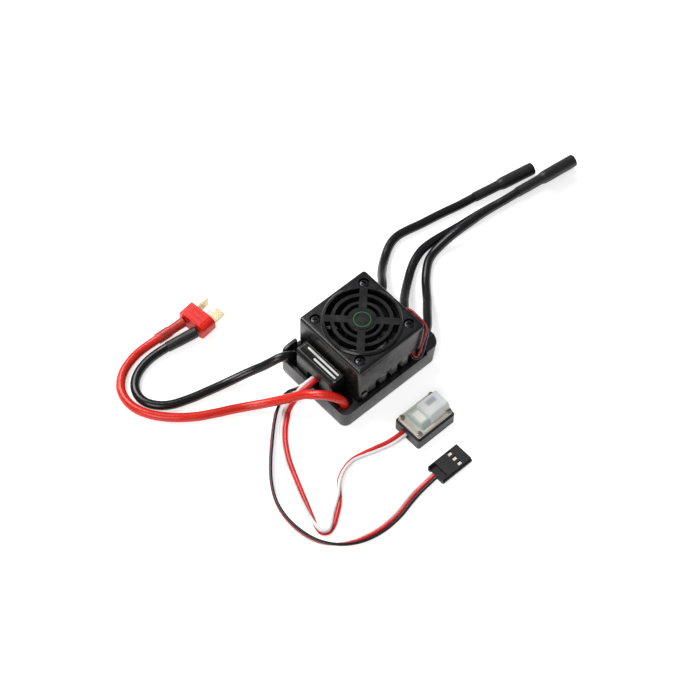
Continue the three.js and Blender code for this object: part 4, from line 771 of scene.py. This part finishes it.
def makeSwitchHood():
    hood = switchHood
    # the window's height is the seat plus its rise, which steps up along x, times the ramps at its four sides
    near, far = hood["side"]
    x = gridLines([*hood["front"], *hood["step"], *hood["back"]], hood["grid"])
    y = gridLines([*near, *far[::-1]], hood["grid"])
    px, py = np.meshgrid(x, y, indexing="ij")
    rise = hood["rise"][0] + (hood["rise"][1] - hood["rise"][0]) * easeIn(px, *hood["step"])
    ramps = (easeIn(px, *hood["front"]) * (1 - easeIn(px, *hood["back"]))
             * easeIn(py, *near) * (1 - easeIn(py, *far[::-1])))
    outer = np.stack([px, py, hood["seat"] + rise * ramps], axis=-1)
    inner = outer.copy()
    inner[..., 2] = hood["seat"] - 0.02 + np.maximum(rise * ramps - hood["wall"], 0)
    rows, columns = px.shape
    index = np.arange(rows * columns).reshape(rows, columns)
    sheet = np.stack([index[:-1, :-1], index[1:, :-1], index[1:, 1:], index[:-1, 1:]], axis=-1).reshape(-1, 4)
    rim = np.concatenate([index[:, 0], index[-1, 1:], index[-2::-1, -1], index[0, -2:0:-1]])
    nextRim, below = np.roll(rim, -1), rows * columns
    walls = np.stack([rim, nextRim, nextRim + below, rim + below], axis=-1)
    mesh = bpy.data.meshes.new("switch_window")
    points = np.concatenate([outer.reshape(-1, 3), inner.reshape(-1, 3)]) * mm
    mesh.from_pydata(points.tolist(), [], np.concatenate([sheet, sheet[:, ::-1] + below, walls]).tolist())
    window = asPiece("switch_window", mesh, domeClear, 50)
    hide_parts("switch_hood")
    (lowX, lowY), (highX, highY) = hood["outer"]
    (openX, openY), (endX, endY) = hood["opening"]
    edge, gap = hood["edge"], hood["inset"]
    lip, rise = hood["lip"]

    def outline(inset):
        return roundedRectangle((lowX + highX) / 2, (lowY + highY) / 2, highX - lowX - 2 * inset,
                                highY - lowY - 2 * inset, hood["corner"] - 0.5 * inset)

    rim = flatRing("switch_rim", outline(gap + 0.02), outline(0), *hood["rim"], switchPlastic,
                   "black_plastic")
    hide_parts("switch_case")
    # the flange stands inside the case's rim, with a rounded edge and a low lip round its top
    top = hood["seat"] + rise
    layers = [(outline(gap), hood["low"]), (outline(gap), top - edge),
              (outline(gap + 0.3 * edge), top - 0.3 * edge), (outline(gap + edge), top),
              (outline(gap + edge + lip), top), (outline(gap + edge + lip + rise), hood["seat"])]
    hole = roundedRectangle((openX + endX) / 2, (openY + endY) / 2, endX - openX, endY - openY,
                            hood["corner"])
    layers += [(hole, hood["seat"]), (hole, hood["low"])]
    grid = np.stack([np.column_stack([loop, np.full(len(loop), level)]) for loop, level in layers])
    flange = skin("switch_flange", grid, flangeClear, ring=True, crease=50)
    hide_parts("switch_hood")
    return [window, rim, flange]


def makeSwitch():
    dress(sliderPlastic, "switch_slider")
    dress(steelMetal, "switch_body")
    screws = makeScrews("switch", switchScrew, bronzeMetal, 0.6)
    case = roundedCopy("switch_case", 0.3, switchPlastic)
    return [case, "switch_slider", "switch_body", *makeSwitchHood(), *screws]


makeBatteryWires(makeBatteryPlug())
makeMotorWires()
makeFlatLead("switch", switchLead, [("white", thinWhite), ("red", thinRed)], makeSwitch())
makeFlatLead("receiver", receiverLead, [("white", thinWhite), ("red", thinRed), ("black", thinBlack)],
             makeReceiverPlug())
makeFanLeads()
makeCase()
makeScrews("guard", guardScrew, screwMetal, 0.35)
makeMarks()
print("case, screws and marks made")


# studio: a pale sweep, a bright room and two soft boxes

studio = {"floorSize": 6.0, "paper": (0.93, 0.97), "room": 0.24, "lift": 0.6, "shine": 0.45,
          "key box": ((-0.1, 0.95, 1.15), 0.9, 20.0), "fill box": ((-1.0, -0.35, 0.9), 0.7, 6.5)}


def makeFloor():
    # lit diffuse for the shadows, lifted towards white where the camera or a reflection sees it
    mesh = bpy.data.meshes.new("floor")
    half = studio["floorSize"] / 2
    corners = [(-half, -half, 0), (half, -half, 0), (half, half, 0), (-half, half, 0)]
    mesh.from_pydata(corners, [], [(0, 1, 2, 3)])
    floor = bpy.data.objects.new("floor", mesh)
    bpy.context.scene.collection.objects.link(floor)
    material = bpy.data.materials.new("floor sheet")
    material.use_nodes = True
    tree = material.node_tree
    tree.nodes.clear()
    noise = addNode(tree, "ShaderNodeTexNoise", {"Vector": places(tree)}, Scale=3.0, Detail=2.0)
    tone = addNode(tree, "ShaderNodeMapRange", {"Value": noise.outputs["Fac"]})
    tone.inputs["To Min"].default_value, tone.inputs["To Max"].default_value = studio["paper"]
    paper = addNode(tree, "ShaderNodeBsdfDiffuse", {"Color": tone.outputs["Result"]})
    rays = addNode(tree, "ShaderNodeLightPath")
    lift = addNode(tree, "ShaderNodeMath", {0: rays.outputs["Is Camera Ray"]}, operation="MULTIPLY")
    lift.inputs[1].default_value = studio["lift"]
    shine = addNode(tree, "ShaderNodeMath", {0: rays.outputs["Is Glossy Ray"]}, operation="MULTIPLY")
    shine.inputs[1].default_value = studio["shine"]
    clear = addNode(tree, "ShaderNodeMath", {0: rays.outputs["Is Transmission Ray"], 1: lift.outputs[0]},
                    operation="MAXIMUM")
    strength = addNode(tree, "ShaderNodeMath", {0: clear.outputs[0], 1: shine.outputs[0]},
                       operation="MAXIMUM")
    glow = addNode(tree, "ShaderNodeEmission", {"Strength": strength.outputs[0]})
    both = addNode(tree, "ShaderNodeAddShader", {0: paper.outputs[0], 1: glow.outputs[0]})
    addNode(tree, "ShaderNodeOutputMaterial", {"Surface": both.outputs[0]})
    mesh.materials.append(material)


def softBox(name):
    # a square lamp that faces the middle of the part
    place, size, power = studio[name]
    lamp = bpy.data.lights.new(name, "AREA")
    lamp.shape = "SQUARE"
    lamp.size = size
    lamp.energy = power
    box = bpy.data.objects.new(name, lamp)
    bpy.context.scene.collection.objects.link(box)
    box.location = place
    box.rotation_euler = (-Vector(place)).to_track_quat("-Z", "Y").to_euler()


def makeRoom():
    # dim grey light from all around, white only where the camera sees it
    world = bpy.data.worlds.new("room")
    bpy.context.scene.world = world
    world.use_nodes = True
    tree = world.node_tree
    tree.nodes.clear()
    light = addNode(tree, "ShaderNodeBackground", Strength=studio["room"])
    white = addNode(tree, "ShaderNodeBackground", Strength=1.0)
    rays = addNode(tree, "ShaderNodeLightPath")
    choice = addNode(tree, "ShaderNodeMixShader", {"Fac": rays.outputs["Is Camera Ray"]})
    tree.links.new(light.outputs[0], choice.inputs[1])
    tree.links.new(white.outputs[0], choice.inputs[2])
    output = addNode(tree, "ShaderNodeOutputWorld")
    tree.links.new(choice.outputs[0], output.inputs["Surface"])
    for background in (light, white):
        background.inputs["Color"].default_value = (1, 1, 1, 1)
    softBox("key box")
    softBox("fill box")
    bpy.context.scene.view_settings.view_transform = "Standard"


makeFloor()
makeRoom()
